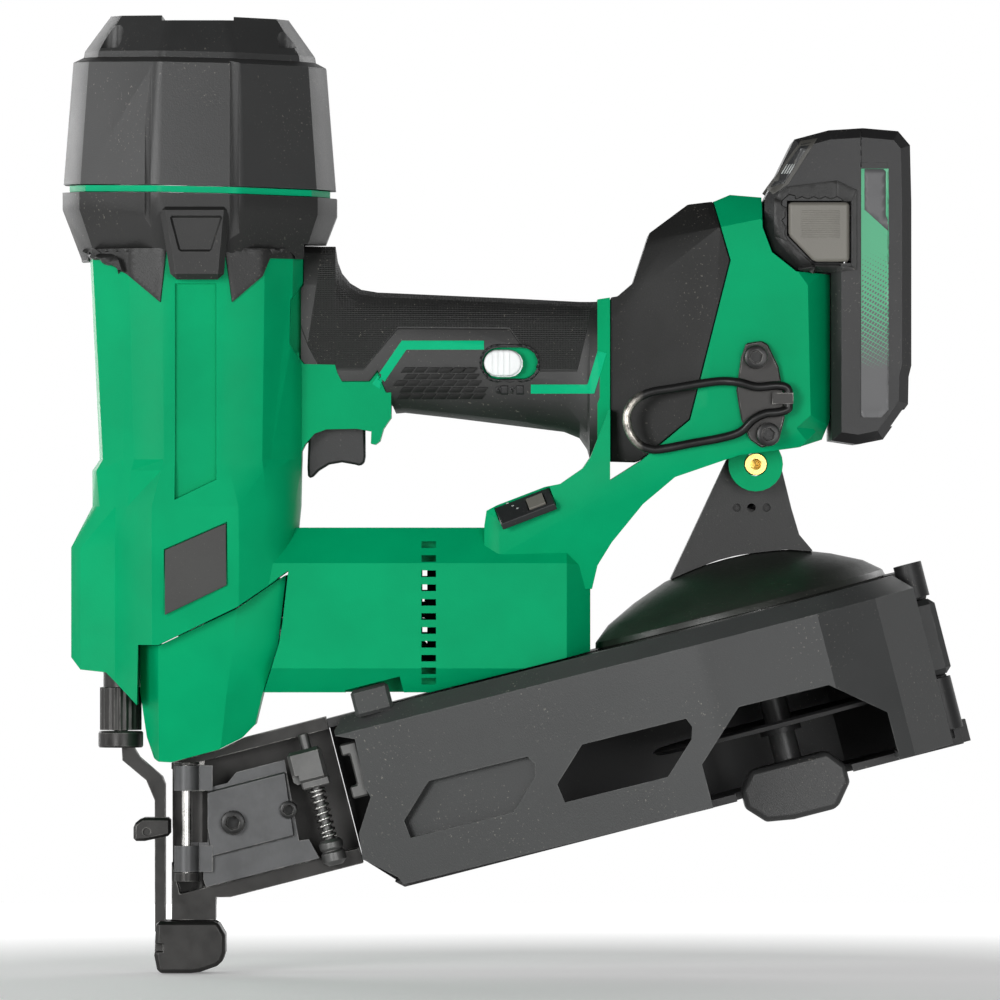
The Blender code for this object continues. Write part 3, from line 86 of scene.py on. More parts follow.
class Nodes:
    """Shorthand for building one material's node tree."""

    def __init__(self, name, material=None):
        self.material = material or bpy.data.materials.new(name)
        self.material.use_nodes = True
        self.tree = self.material.node_tree
        self.shader = self.tree.nodes["Principled BSDF"]
        self.coords = self.tree.nodes.new("ShaderNodeTexCoord").outputs["Object"]

    def add(self, kind, **values):
        node = self.tree.nodes.new("ShaderNode" + kind)
        for key, value in values.items():
            if hasattr(node, key):
                setattr(node, key, value)
            else:
                self.put(value, node.inputs[key])
        return node

    def put(self, value, socket):
        if isinstance(value, bpy.types.NodeSocket):
            self.tree.links.new(value, socket)
        else:
            socket.default_value = value

    def math(self, operation, a, b=0.0, c=0.0):
        node = self.tree.nodes.new("ShaderNodeMath")
        node.operation = operation
        for value, socket in zip((a, b, c), node.inputs):
            self.put(value, socket)
        return node.outputs[0]

    def noise(self, size_mm, detail=2.0, roughness=0.5, coords=None):
        """Noise with features about size_mm across."""
        node = self.add("TexNoise", Scale=1 / (size_mm * MM), Detail=detail, Roughness=roughness)
        self.put(coords or self.coords, node.inputs["Vector"])
        return node.outputs["Fac"]

    def cells(self, size_mm):
        """Rounded cells about size_mm across."""
        node = self.add("TexVoronoi", feature="F1", Scale=1 / (size_mm * MM))
        self.put(self.coords, node.inputs["Vector"])
        return node.outputs["Distance"]

    def stretched(self, x, y, z):
        """The coordinates scaled, so that what they drive is drawn out along the smallest of the three."""
        node = self.add("Mapping", Scale=(x, y, z))
        self.put(self.coords, node.inputs["Vector"])
        return node.outputs["Vector"]

    def axes(self):
        node = self.tree.nodes.new("ShaderNodeSeparateXYZ")
        self.put(self.coords, node.inputs[0])
        return node.outputs

    def design_axes(self):
        """X, Y and Z in design millimetres."""
        x, y, z = self.axes()
        return (
            self.math("DIVIDE", self.math("SUBTRACT", x, AXIS_X), MM),
            self.math("DIVIDE", y, MM),
            self.math("DIVIDE", z, MM),
        )

    def sine(self, value, factor):
        return self.math("SINE", self.math("MULTIPLY", value, factor))

    def sum(self, a, b):
        return self.math("ADD", a, b)

    def span(self, value, low, high, to_low=0.0, to_high=1.0):
        node = self.tree.nodes.new("ShaderNodeMapRange")
        for item, socket in zip((value, low, high, to_low, to_high), node.inputs):
            self.put(item, socket)
        return node.outputs[0]

    def mixed(self, share, a, b):
        """Colour a, turning to b as share goes from 0 to 1."""
        node = self.tree.nodes.new("ShaderNodeMix")
        node.data_type = "RGBA"
        self.put(share, node.inputs["Factor"])
        self.put(a, node.inputs[6])
        self.put(b, node.inputs[7])
        return node.outputs[2]

    def bump(self, height, depth_mm):
        node = self.add("Bump", Strength=1.0, Distance=depth_mm * MM)
        self.put(height, node.inputs["Height"])
        return node.outputs["Normal"]

    def dust(self, grain_mm, low, high, most):
        """Scattered specks, from 0 to most."""
        return self.math("MULTIPLY", self.span(self.noise(grain_mm, 2.0), low, high), most)

    def edge_wear(self, radius_mm):
        """1 along outer edges and 0 elsewhere, broken up by noise."""
        bevel = self.add("Bevel", samples=4, Radius=radius_mm * MM)
        geometry = self.tree.nodes.new("ShaderNodeNewGeometry")
        dot = self.tree.nodes.new("ShaderNodeVectorMath")
        dot.operation = "DOT_PRODUCT"
        self.put(bevel.outputs[0], dot.inputs[0])
        self.put(geometry.outputs["Normal"], dot.inputs[1])
        edge = self.span(dot.outputs["Value"], 0.995, 0.93)
        patchy = self.span(self.noise(6.0, 4.0, 0.65), 0.42, 0.62)
        return self.math("MULTIPLY", edge, patchy)


def colour(rgb):
    return (*rgb, 1.0)


def scaled(rgb, factor):
    return tuple(min(1.0, c * factor) for c in rgb)


DUST_LIGHT = (0.45, 0.42, 0.36, 1.0)


def moulded(name, rgb, roughness, grain_mm, grain_depth, wear, worn=None, sheen=0.45, dust=0.0):
    """Moulded plastic: spark-eroded grain, faint flow marks, polished edges and some dust in the grain."""
    n = Nodes(name)
    flow = n.noise(38.0, 3.0, 0.6)
    fine = n.noise(grain_mm, 3.0, 0.6)
    speck = n.cells(grain_mm * 1.6)
    base = n.mixed(n.span(flow, 0.35, 0.65), colour(scaled(rgb, 0.93)), colour(scaled(rgb, 1.06)))
    if dust:
        patches = n.span(n.noise(30.0), 0.45, 0.65, 0.0, dust)
        base = n.mixed(n.dust(0.9, 0.66, 0.72, patches), base, DUST_LIGHT)
    edge = n.math("MULTIPLY", n.edge_wear(0.7), wear)
    base = n.mixed(edge, base, colour(worn or scaled(rgb, 1.9)))
    n.put(base, n.shader.inputs["Base Color"])
    broad = n.span(flow, 0.3, 0.7, roughness - 0.04, roughness + 0.04)
    n.put(n.sum(broad, n.span(fine, 0.3, 0.7, -0.03, 0.03)), n.shader.inputs["Roughness"])
    grain = n.sum(fine, n.math("MULTIPLY", speck, 0.6))
    n.put(n.bump(grain, grain_depth), n.shader.inputs["Normal"])
    n.shader.inputs["Specular IOR Level"].default_value = sheen
    return n.material


# The line under which the grip's skin is plain, and the sloping line in front of which it is plain too.
GRIP_LINE = [
    (33, 250), (40.9, 228.6), (45.6, 220.1), (61.0, 220.1), (73.5, 235.2), (114.1, 234.9), (118.6, 228.5),
    (125.2, 219.7), (138.7, 219.7), (143.8, 241.2), (150, 265),
]
GRIP_FRONT_X, GRIP_FRONT_Z, GRIP_FRONT_SLOPE = 40.4, 228.6, 0.149
KNURL_PITCH = 1.15
KNURL_SLOPE = 0.75


def line_height(n, along, points, x_range, z_range):
    """A polyline's height at each place along it."""
    curve = n.tree.nodes.new("ShaderNodeFloatCurve")
    (low_x, high_x), (low_z, high_z) = x_range, z_range
    spots = [((x - low_x) / (high_x - low_x), (z - low_z) / (high_z - low_z)) for x, z in points]
    track = curve.mapping.curves[0]
    while len(track.points) < len(spots):
        track.points.new(0.5, 0.5)
    for point, spot in zip(track.points, spots):
        point.location = spot
        point.handle_type = "VECTOR"
    curve.mapping.update()
    n.put(n.span(along, low_x, high_x), curve.inputs["Value"])
    return n.span(curve.outputs[0], 0.0, 1.0, low_z, high_z)


def knurled_rubber(name, rgb):
    """Grip elastomer: a fine diamond knurl above the dividing line, and a plain skin elsewhere."""
    n = Nodes(name)
    along, across, height = n.design_axes()
    line = line_height(n, along, GRIP_LINE, (33.0, 150.0), (190.0, 270.0))
    above = n.math("SUBTRACT", height, line)
    rise = n.math("MULTIPLY", n.math("SUBTRACT", height, GRIP_FRONT_Z), GRIP_FRONT_SLOPE)
    behind = n.math("SUBTRACT", along, n.sum(rise, GRIP_FRONT_X))
    zone = n.math("MULTIPLY", n.span(above, 0.0, 0.35), n.span(behind, 0.0, 0.4))
    groove = n.span(n.math("ABSOLUTE", n.math("SUBTRACT", above, -0.3)), 0.0, 0.45, -1.0, 0.0)
    pitch = 2 * math.pi / KNURL_PITCH
    slant = n.math("MULTIPLY", height, KNURL_SLOPE)
    one = n.sine(n.sum(along, slant), pitch)
    two = n.sine(n.math("SUBTRACT", along, slant), pitch)
    weave = n.sum(n.math("MULTIPLY", one, two), n.math("MULTIPLY", n.sine(across, pitch), 0.25))
    fine = n.math("MULTIPLY", n.noise(0.35, 3.0, 0.6), 0.35)
    knurl = n.sum(n.math("MULTIPLY", weave, zone), n.sum(fine, groove))
    n.put(n.bump(knurl, 0.16), n.shader.inputs["Normal"])
    worn = n.span(n.noise(26.0, 3.0), 0.4, 0.7, 0.0, 0.5)
    base = n.mixed(worn, colour(rgb), colour(scaled(rgb, 1.5)))
    n.put(n.mixed(n.dust(0.8, 0.69, 0.73, 0.35), base, (0.4, 0.38, 0.32, 1.0)), n.shader.inputs["Base Color"])
    n.put(n.span(zone, 0.0, 1.0, 0.5, 0.62), n.shader.inputs["Roughness"])
    return n.material


def metal(name, rgb, roughness, metallic=1.0, brush=(1, 1, 1), wear=0.5, worn=(0.4, 0.39, 0.37)):
    """Steel, plated or blackened: brushed along one axis, with rubbed edges and blotchy oxide."""
    n = Nodes(name)
    blotch = n.noise(9.0, 4.0, 0.6)
    lines = n.noise(0.5, 3.0, 0.6, n.stretched(*brush))
    base = n.mixed(n.span(blotch, 0.35, 0.65), colour(scaled(rgb, 0.85)), colour(scaled(rgb, 1.15)))
    edge = n.math("MULTIPLY", n.edge_wear(0.5), wear)
    n.put(n.mixed(edge, base, colour(worn)), n.shader.inputs["Base Color"])
    n.shader.inputs["Metallic"].default_value = metallic
    broad = n.span(blotch, 0.3, 0.7, roughness - 0.06, roughness + 0.08)
    n.put(n.sum(broad, n.span(lines, 0.3, 0.7, -0.04, 0.04)), n.shader.inputs["Roughness"])
    n.put(n.bump(lines, 0.01), n.shader.inputs["Normal"])
    return n.material


def glossy(name, rgb, roughness, speckle=0.1):
    """Smooth dark moulding with fine scuffs."""
    n = Nodes(name)
    scuffs = n.noise(0.7, 4.0, 0.7, n.stretched(0.3, 1.0, 1.0))
    cloud = n.noise(22.0, 3.0)
    base = n.mixed(n.span(cloud, 0.35, 0.65), colour(scaled(rgb, 0.85)), colour(scaled(rgb, 1.2)))
    specks = n.dust(0.7, 0.68, 0.72, speckle)
    n.put(n.mixed(specks, base, (0.5, 0.48, 0.42, 1.0)), n.shader.inputs["Base Color"])
    n.put(n.span(scuffs, 0.35, 0.75, roughness, roughness + 0.16), n.shader.inputs["Roughness"])
    n.put(n.bump(scuffs, 0.006), n.shader.inputs["Normal"])
    return n.material


PRINTED_GREY = (0.085, 0.085, 0.088)
PRINTED_GREEN = (0.055, 0.36, 0.18)


def label_film(name):
    """Label film whose green ground breaks up downwards into a lattice on grey."""
    n = Nodes(name)
    along, _, height = n.design_axes()
    lines = []
    for lean in (0.55, -1.5):
        wave = n.sine(n.sum(height, n.math("MULTIPLY", along, lean)), math.pi / 1.9)
        lines.append(n.math("SUBTRACT", 1.0, n.math("ABSOLUTE", wave)))
    lattice = n.math("MAXIMUM", *lines)
    needed = n.span(height, 219.0, 262.0, 1.02, 0.0)
    green = n.span(n.math("SUBTRACT", lattice, needed), -0.03, 0.03)
    n.put(n.mixed(green, colour(PRINTED_GREY), colour(PRINTED_GREEN)), n.shader.inputs["Base Color"])
    n.shader.inputs["Roughness"].default_value = 0.42
    n.put(n.bump(n.noise(0.6, 3.0), 0.005), n.shader.inputs["Normal"])
    return n.material


def worn_wire(name):
    """Coated wire, rubbed bright where the loop bends back."""
    n = Nodes(name, metal(name, (0.02, 0.02, 0.02), 0.33, 0.6, wear=0.4))
    bend = n.span(n.axes()[0], AXIS_X + 0.1575, AXIS_X + 0.1625, 1.0, 0.0)
    rubbed = n.math("MULTIPLY", bend, n.span(n.noise(3.0, 4.0, 0.7), 0.35, 0.6))
    coat = n.shader.inputs["Base Color"].links[0].from_socket
    n.put(n.mixed(rubbed, coat, (0.5, 0.47, 0.42, 1.0)), n.shader.inputs["Base Color"])
    n.put(n.span(rubbed, 0.0, 1.0, 0.6, 1.0), n.shader.inputs["Metallic"])
    return n.material


GREEN_RGB = (0.0, 0.325, 0.127)
LIGHT_GREEN_RGB = (0.002, 0.42, 0.19)

# moulded(): name, colour, roughness, grain size and depth in mm, edge wear, worn colour
GREEN = moulded("moulded green", GREEN_RGB, 0.4, 0.5, 0.02, 0.12, (0.01, 0.38, 0.17), sheen=0.05)
ACCENT = moulded("accent green", LIGHT_GREEN_RGB, 0.36, 0.4, 0.012, 0.2, (0.02, 0.5, 0.26), sheen=0.06)
CHARCOAL = moulded(
    "charcoal nylon", (0.03, 0.0305, 0.0305), 0.4, 0.42, 0.035, 0.35, (0.1, 0.1, 0.098), dust=0.35
)
JET = moulded(
    "jet nylon", (0.016, 0.016, 0.0157), 0.42, 0.42, 0.035, 0.35, (0.08, 0.08, 0.078), sheen=0.35, dust=0.25
)
PAD = moulded(
    "soft-touch black", (0.009, 0.009, 0.0086), 0.55, 0.35, 0.03, 0.3, (0.05, 0.05, 0.048),
    sheen=0.3, dust=0.2,
)
GRIP = knurled_rubber("knurled grip", (0.02, 0.02, 0.0195))
MAGAZINE = moulded(
    "glass-filled grey", (0.042, 0.0435, 0.0435), 0.43, 0.4, 0.028, 0.5, (0.16, 0.16, 0.155),
    sheen=0.35, dust=0.3,
)
DARK = moulded("dark plastic", (0.014, 0.014, 0.0145), 0.45, 0.4, 0.025, 0.3, (0.07, 0.07, 0.07), dust=0.2)
SMOKE = glossy("smoke lid", (0.018, 0.0205, 0.017), 0.3)
PANEL = glossy("panel film", (0.018, 0.019, 0.02), 0.3)
LABEL_GREY = glossy("label grey", PRINTED_GREY, 0.45)
SIGN = moulded("printed sign", (0.42, 0.44, 0.43), 0.5, 0.6, 0.005, 0.0)
PLATE = glossy("plate film", (0.018, 0.0178, 0.016), 0.4)
LATCH = moulded("latch plastic", (0.17, 0.162, 0.142), 0.5, 0.5, 0.03, 0.4, (0.25, 0.24, 0.21))
LATCH_DARK = moulded("gauge frame", (0.06, 0.058, 0.052), 0.45, 0.5, 0.02, 0.3, (0.14, 0.14, 0.13))
WHITE = moulded("white plastic", (0.82, 0.84, 0.84), 0.35, 0.6, 0.01, 0.0)
BLACK_STEEL = metal("black oxide steel", (0.035, 0.034, 0.033), 0.38, 0.75, wear=0.7)
HOOK_STEEL = metal("coated wire", (0.02, 0.02, 0.02), 0.33, 0.6, wear=0.4)
GUNMETAL = metal("phosphated steel", (0.11, 0.11, 0.108), 0.42, 0.8, wear=0.6)
DOOR_STEEL = metal("door plate", (0.085, 0.086, 0.088), 0.46, 0.7, (1, 1, 0.2), wear=0.5)
STEEL = metal("ground steel", (0.55, 0.54, 0.52), 0.28, 1.0, (0.2, 1, 1), wear=0.2, worn=(0.8, 0.79, 0.77))
BRASS = metal("brass", (0.83, 0.6, 0.18), 0.24, 1.0, wear=0.3, worn=(0.95, 0.8, 0.4))
ALUMINIUM = metal("aluminium", (0.6, 0.6, 0.61), 0.35, 1.0, wear=0.1, worn=(0.8, 0.8, 0.8))
COPPER = metal("enamelled copper", (0.6, 0.26, 0.1), 0.35, 1.0, wear=0.1, worn=(0.8, 0.4, 0.2))
WORN_WIRE = worn_wire("worn hook wire")
LABEL = label_film("label film")
BOARD = moulded("varnished board", (0.02, 0.14, 0.06), 0.4, 0.6, 0.02, 0.2)

NODE_LOOKS = {
    GREEN: ["housing_left", "housing_right", "nose_cover"],
    ACCENT: ["cap_ring"],
    CHARCOAL: ["head_cap", "holder_knob"],
    JET: ["head_collar", "magazine_arm"],
    PAD: ["rear_pad_left", "rear_pad_right"],
    GRIP: ["grip_left", "grip_right"],
    MAGAZINE: ["magazine_cover"],
    DARK: [
        "magazine_body", "trigger", "battery_case", "nail_holder", "terminal_block", "trigger_switch",
        "cooling_fan", "cell_pack",
    ],
    SMOKE: ["magazine_lid"],
    PANEL: ["control_panel"],
    PLATE: ["label_plate"],
    LATCH: ["battery_latch_left", "battery_latch_right", "mode_button"],
    WHITE: ["lock_slider"],
    BLACK_STEEL: [
        "nose_body", "contact_arm", "contact_nose", "hook_base", "depth_dial", "cylinder", "lifter_wheel",
    ],
    GUNMETAL: ["latch_bracket", "latch_pin", "cover_catch", "piston"],
    DOOR_STEEL: ["nail_door"],
    HOOK_STEEL: ["hook_wire", "hook_screw_upper", "hook_screw_lower", "door_screw_front", "door_screw_rear"],
    STEEL: [
        "door_hinge_pin", "trigger_pin", "driver_blade", "ring_gear", "planet_gear_1", "planet_gear_2",
        "planet_gear_3", "motor_rotor", "latch_spring", "contact_spring",
    ],
    BRASS: ["arm_insert"],
    ALUMINIUM: ["air_chamber"],
    COPPER: ["motor_stator"],
    BOARD: ["controller_board"],
}

# Width in mm of the rounding on each node's edges. Nodes that aren't named get SMALL_EDGE.
SMALL_EDGE = 0.15
EDGE_WIDTHS = {
    0.9: [
        "head_cap", "head_collar", "housing_left", "housing_right", "nose_cover", "rear_pad_left",
        "rear_pad_right",
    ],
    0.7: [
        "magazine_cover", "magazine_arm", "magazine_lid", "battery_case", "holder_knob", "trigger",
        "grip_left", "grip_right",
    ],
    0.4: [
        "magazine_body", "contact_nose", "nose_body", "nail_door", "hook_base", "battery_latch_left",
        "battery_latch_right", "latch_bracket", "contact_arm", "cap_ring", "control_panel",
    ],
    0.2: ["label_plate", "cover_catch", "mode_button", "depth_dial", "latch_pin", "arm_insert"],
}

# Nodes whose slightest facets stay when coplanar triangles are merged.
FINE_FACETS = ["housing_left", "housing_right", "head_cap", "trigger", "magazine_arm", "controller_board"]
MERGE_ANGLE, FINE_MERGE_ANGLE = 0.6, 0.05


def modifier(obj, kind, **settings):
    added = obj.modifiers.new(kind.lower(), kind)
    for key, value in settings.items():
        setattr(added, key, value)
    return added


def bevel(obj, width, angle, **settings):
    limit = math.radians(angle)
    modifier(obj, "BEVEL", width=width * MM, segments=2, limit_method="ANGLE", angle_limit=limit, **settings)


def smooth(obj):
    """Smooth shading with the importer's own normals dropped."""
    mesh = obj.data
    mesh.polygons.foreach_set("use_smooth", [True] * len(mesh.polygons))
    if mesh.has_custom_normals:
        mesh.attributes.remove(mesh.attributes["custom_normal"])
    mesh.update()


def rounded_edges(obj, width, merge_angle):
    """Rounds every sharp edge of a CAD node without touching its mesh."""
    smooth(obj)
    modifier(obj, "WELD", merge_threshold=0.02 * MM)
    modifier(obj, "DECIMATE", decimate_type="DISSOLVE", angle_limit=math.radians(merge_angle))
    bevel(obj, width, 24, use_clamp_overlap=True, miter_outer="MITER_ARC")
    modifier(obj, "WEIGHTED_NORMAL", keep_sharp=False, weight=60)


def dress_cad_nodes():
    for look, names in NODE_LOOKS.items():
        for name in names:
            data = NODES[name].data
            data.materials.clear()
            data.materials.append(look)
    widths = {name: width for width, names in EDGE_WIDTHS.items() for name in names}
    for name, obj in NODES.items():
        merge_angle = FINE_MERGE_ANGLE if name in FINE_FACETS else MERGE_ANGLE
        rounded_edges(obj, widths.get(name, SMALL_EDGE), merge_angle)


# ---------------------------------------------------------------- building tools


def attached(name, mesh, look, body):
    """An object for a finished mesh, with its look and slot, riding on a body."""
    mesh.polygons.foreach_set("use_smooth", [True] * len(mesh.polygons))
    obj = bpy.data.objects.new(name, mesh)
    bpy.context.scene.collection.objects.link(obj)
    mesh.materials.append(look)
    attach(obj, body)
    return obj


def new_piece(name, points, faces, look, body):
    """A mesh piece from points in row-frame metres, which rides on a body."""
    mesh = bpy.data.meshes.new(name)
    mesh.from_pydata([tuple(p) for p in points], [], faces)
    mesh.update()
    return attached(name, mesh, look, body)


def surface_of(*names):
    """A ray target made of CAD nodes."""
    points, faces = [], []
    for name in names:
        mesh = NODES[name].data
        start = len(points)
        points += [v.co.copy() for v in mesh.vertices]
        faces += [[start + i for i in p.vertices] for p in mesh.polygons]
    return BVHTree.FromPolygons(points, faces)


def meet(tree, side, x, z):
    """Where a ray along Y from outside meets the surface, and the surface's normal there."""
    return tree.ray_cast(at(x, side * 120.0, z), Vector((0, -side, 0)))[:2]


def height_on(tree, side, x, z):
    """The surface's y at (x, z), in design millimetres, or None."""
    hit = meet(tree, side, x, z)[0]
    return None if hit is None else hit.y / MM


def split_to(work, step):
    """Splits a flat bmesh until no edge is much longer than step."""
    bmesh.ops.triangulate(work, faces=work.faces[:])
    for _ in range(7):
        long_edges = [e for e in work.edges if e.calc_length() > step]
        if not long_edges:
            break
        bmesh.ops.subdivide_edges(work, edges=long_edges, cuts=1)
        bmesh.ops.triangulate(work, faces=work.faces[:])


def laid_on(name, outlines, target, look, body, lift, depth, step, edge=0.0):
    """Thin patches that follow a surface: each outline is filled, split finely and dropped onto it along Y.

    target is the ray target and the side it is met from. Their outer face stands lift above the surface.
    """
    tree, side = target
    work = bmesh.new()
    for outline in outlines:
        work.faces.new([work.verts.new((x, 0.0, z)) for x, z in outline])
    split_to(work, step)
    found = {v: height_on(tree, side, v.co.x, v.co.z) for v in work.verts}
    known = [v for v in work.verts if found[v] is not None]
    for v in work.verts:
        if found[v] is None:
            nearest = min(known, key=lambda k: (k.co - v.co).length_squared)
            found[v] = found[nearest]
    for v in work.verts:
        v.co = at(v.co.x, found[v] + side * lift, v.co.z)
    bmesh.ops.recalc_face_normals(work, faces=work.faces[:])
    if sum(f.normal.y * f.calc_area() for f in work.faces) * side < 0:
        bmesh.ops.reverse_faces(work, faces=work.faces[:])
    mesh = bpy.data.meshes.new(name)
    work.to_mesh(mesh)
    work.free()
    obj = attached(name, mesh, look, body)
    modifier(obj, "SOLIDIFY", thickness=depth * MM, offset=-1.0, use_even_offset=False)
    if edge:
        bevel(obj, edge, 40)
    return obj


def ribbon(points, width):
    """The outline of a band along a line of (x, z) points, with mitred corners."""
    points = [Vector(p) for p in points]
    rails = []
    for i, point in enumerate(points):
        ahead = points[min(i + 1, len(points) - 1)] - point
        behind = point - points[max(i - 1, 0)]
        ahead = ahead.normalized() if ahead.length else behind.normalized()
        behind = behind.normalized() if behind.length else ahead
        normal_a, normal_b = Vector((-ahead.y, ahead.x)), Vector((-behind.y, behind.x))
        mitre = (normal_a + normal_b).normalized()
        mitre *= width / 2 / max(0.3, mitre.dot(normal_a))
        rails.append((point - mitre, point + mitre))
    left = [r[0] for r in rails]
    right = [r[1] for r in rails]
    return [tuple(p) for p in left + right[::-1]]


def stadium(x0, x1, z0, z1, count=10):
    """An outline with half-round ends, in the XZ plane."""
    radius = (z1 - z0) / 2
    middle = (z0 + z1) / 2
    right = [(x1 - radius, -math.pi / 2 + math.pi * i / count) for i in range(count + 1)]
    left = [(x0 + radius, math.pi / 2 + math.pi * i / count) for i in range(count + 1)]
    return [(c + radius * math.cos(a), middle + radius * math.sin(a)) for c, a in right + left]


def between(outer, inner):
    """The quads between two outlines with the same number of corners."""
    return [list(q) for q in zip(outer, outer[1:] + outer[:1], inner[1:] + inner[:1], inner)]


def ring_rows(rows):
    """Points and faces of a closed skin through rings of points, with a face over each end."""
    n = len(rows[0])
    points = [p for row in rows for p in row]
    faces = []
    for r in range(len(rows) - 1):
        for i in range(n):
            j = (i + 1) % n
            faces.append((r * n + i, r * n + j, (r + 1) * n + j, (r + 1) * n + i))
    faces.append(tuple(reversed(range(n))))
    faces.append(tuple(range(len(points) - n, len(points))))
    return points, faces


def placed(origin, axis):
    """Millimetres along a piece's own axis to the row frame."""
    along = Vector(axis).normalized()
    side = along.orthogonal().normalized()
    turn = Matrix((side, along.cross(side), along)).transposed().to_4x4()
    return Matrix.Translation(origin) @ turn @ TO_METRES


def turned_piece(name, rows, place, look, body):
    """A closed turned piece: rows of (height, radius) along Z, moved by a matrix.

    A radius may be a function of the angle.
    """
    count = 96
    rings = []
    for height, radius in rows:
        ring = []
        for i in range(count):
            a = 2 * math.pi * i / count
            r = radius(a) if callable(radius) else radius
            ring.append(place @ Vector((r * math.cos(a), r * math.sin(a), height)))
        rings.append(ring)
    obj = new_piece(name, *ring_rows(rings), look, body)
    sharp_corners(obj)
    return obj


def sharp_corners(obj):
    obj.data.set_sharp_from_angle(angle=math.radians(32))


def hexagon(across_flats):
    """A hexagon's radius at each angle."""
    apothem = across_flats / 2

    def radius(a):
        off = (a + math.pi / 6) % (math.pi / 3) - math.pi / 6
        return apothem / math.cos(off)

    return radius


def socket_screw(name, origin, axis, radius, height, key, look, body, knurl=0.0):
    """A socket-head screw standing on origin: knurled side, rounded rim and a hexagon recess."""

    def side(a):
        return radius + knurl * math.cos(a * 24)

    hole = hexagon(key)
    rows = [
        (0.0, side), (height - 0.5, side), (height - 0.18, radius - 0.15), (height, radius - 0.5),
        (height, lambda a: hole(a) + 0.25), (height - 0.25, hole), (height * 0.42, hole),
    ]
    return turned_piece(name, rows, placed(origin, axis), look, body)


def screw_on(name, target, x, z, radius, height, key, look):
    """A socket screw of the tool's body that stands square on the surface a Y ray meets."""
    tree, side = target
    sunk = 0.6
    hit, normal = meet(tree, side, x, z)
    if normal.y * side < 0:
        normal = -normal
    return socket_screw(name, hit - normal * sunk * MM, normal, radius, height + sunk, key, look, "tool_body")


def tube_piece(name, points, radius, look, body, sides):
    """A round wire through row-frame points, carried along with the least twist."""
    rings = []
    side = None
    count = len(points)
    angles = [2 * math.pi * k / sides for k in range(sides)]
    for i, point in enumerate(points):
        ahead = points[i + 1] if i + 1 < count else point
        behind = points[i - 1] if i else point
        tangent = (ahead - behind).normalized()
        side = tangent.orthogonal() if side is None else side - tangent * side.dot(tangent)
        side.normalize()
        up = tangent.cross(side)
        rings.append([point + radius * MM * (math.cos(t) * side + math.sin(t) * up) for t in angles])
    return new_piece(name, *ring_rows(rings), look, body)


def smooth_path(points):
    """A Catmull-Rom line through the points."""
    per_span = 6
    path = []
    ends = [points[0] * 2 - points[1], *points, points[-1] * 2 - points[-2]]
    for i in range(1, len(ends) - 2):
        a, b, c, d = ends[i - 1], ends[i], ends[i + 1], ends[i + 2]
        for k in range(per_span):
            t = k / per_span
            square = (2 * a - 5 * b + 4 * c - d) * t**2
            cube = (3 * b - a - 3 * c + d) * t**3
            path.append(0.5 * ((2 * b) + (c - a) * t + square + cube))
    path.append(points[-1])
    return path


def coil_spring(name, place, radius, length, turns, body):
    """A compression spring with closed ends, from 0 to length along its own axis."""
    steps, wire, closed_turns = 26, 0.45, 1.2
    total = turns + 2 * closed_turns
    free = length - wire * 2 * (closed_turns * 2 + 1)
    points = []
    for i in range(int(total * steps) + 1):
        turn = i / steps
        closed = min(turn, closed_turns) + max(0.0, turn - (total - closed_turns))
        open_turn = min(max(0.0, turn - closed_turns), turns)
        height = wire + closed * wire * 2 + open_turn / turns * free
        a = 2 * math.pi * turn
        points.append(place @ Vector((radius * math.cos(a), radius * math.sin(a), height)))
    return tube_piece(name, points, wire, STEEL, body, 10)


def slab(name, rows, thickness, look, edge):
    """A closed sheet of the tool's body.

    Its outer face is a grid of row-frame points. Its inner face lies nearer the middle plane.
    """
    across = len(rows[0])
    inward = Vector((0, thickness * MM, 0))
    points = [p for row in rows for p in row] + [p - inward for row in rows for p in row]
    half = len(rows) * across
    faces = []
    for r in range(len(rows) - 1):
        for c in range(across - 1):
            a = r * across + c
            quad = (a, a + 1, a + across + 1, a + across)
            faces += [quad, tuple(half + i for i in reversed(quad))]
    rim = list(range(across)) + [r * across + across - 1 for r in range(1, len(rows))]
    rim += [(len(rows) - 1) * across + c for c in range(across - 2, -1, -1)]
    rim += [r * across for r in range(len(rows) - 2, 0, -1)]
    for a, b in zip(rim, rim[1:] + rim[:1]):
        faces.append((b, a, half + a, half + b))
    obj = new_piece(name, points, faces, look, "tool_body")
    work = bmesh.new()
    work.from_mesh(obj.data)
    bmesh.ops.recalc_face_normals(work, faces=work.faces[:])
    work.to_mesh(obj.data)
    work.free()
    bevel(obj, edge, 40)
    sharp_corners(obj)
    return obj


# ---------------------------------------------------------------- grip, collar and lock

SIDES = ((NEAR, "left"), (FAR, "right"))
STRIPE_WIDTH = 3.3


def tread_studs():
    """Slanted studs in staggered rows, which shorten away from the second row."""
    rows, pitch, height, lean, gap = 5, 4.5, 2.42, 1.5, 0.55
    start, end, low = 71.0, 107.0, 208.9
    studs = []
    for row in range(rows):
        z = low + row * height
        top = z + height - 0.5
        margin = abs(row - 1.5) * 1.4
        x = start + margin + (pitch / 2 if row % 2 else 0)
        while x + pitch < end - margin:
            far_x = x + pitch - gap
            studs.append([(x, z), (far_x, z), (far_x + lean, top), (x + lean, top)])
            x += pitch
    return studs


def grip_details():
    front = ribbon([(65.4, 213.6), (75.7, 228.6), (104.8, 228.6)], STRIPE_WIDTH)
    rear = ribbon([(121.8, 212.6), (143.6, 212.6), (147.6, 226.0)], STRIPE_WIDTH)
    for side, label in SIDES:
        target = (surface_of("grip_" + label, "housing_" + label), side)
        for place, outline in (("front", front), ("rear", rear)):
            name = f"grip_stripe_{place}_{label}"
            laid_on(name, [outline], target, ACCENT, "tool_body", 0.28, 0.9, 1.3, 0.12)
        laid_on("grip_tread_" + label, tread_studs(), target, PAD, "tool_body", 0.42, 0.9, 2.6, 0.16)


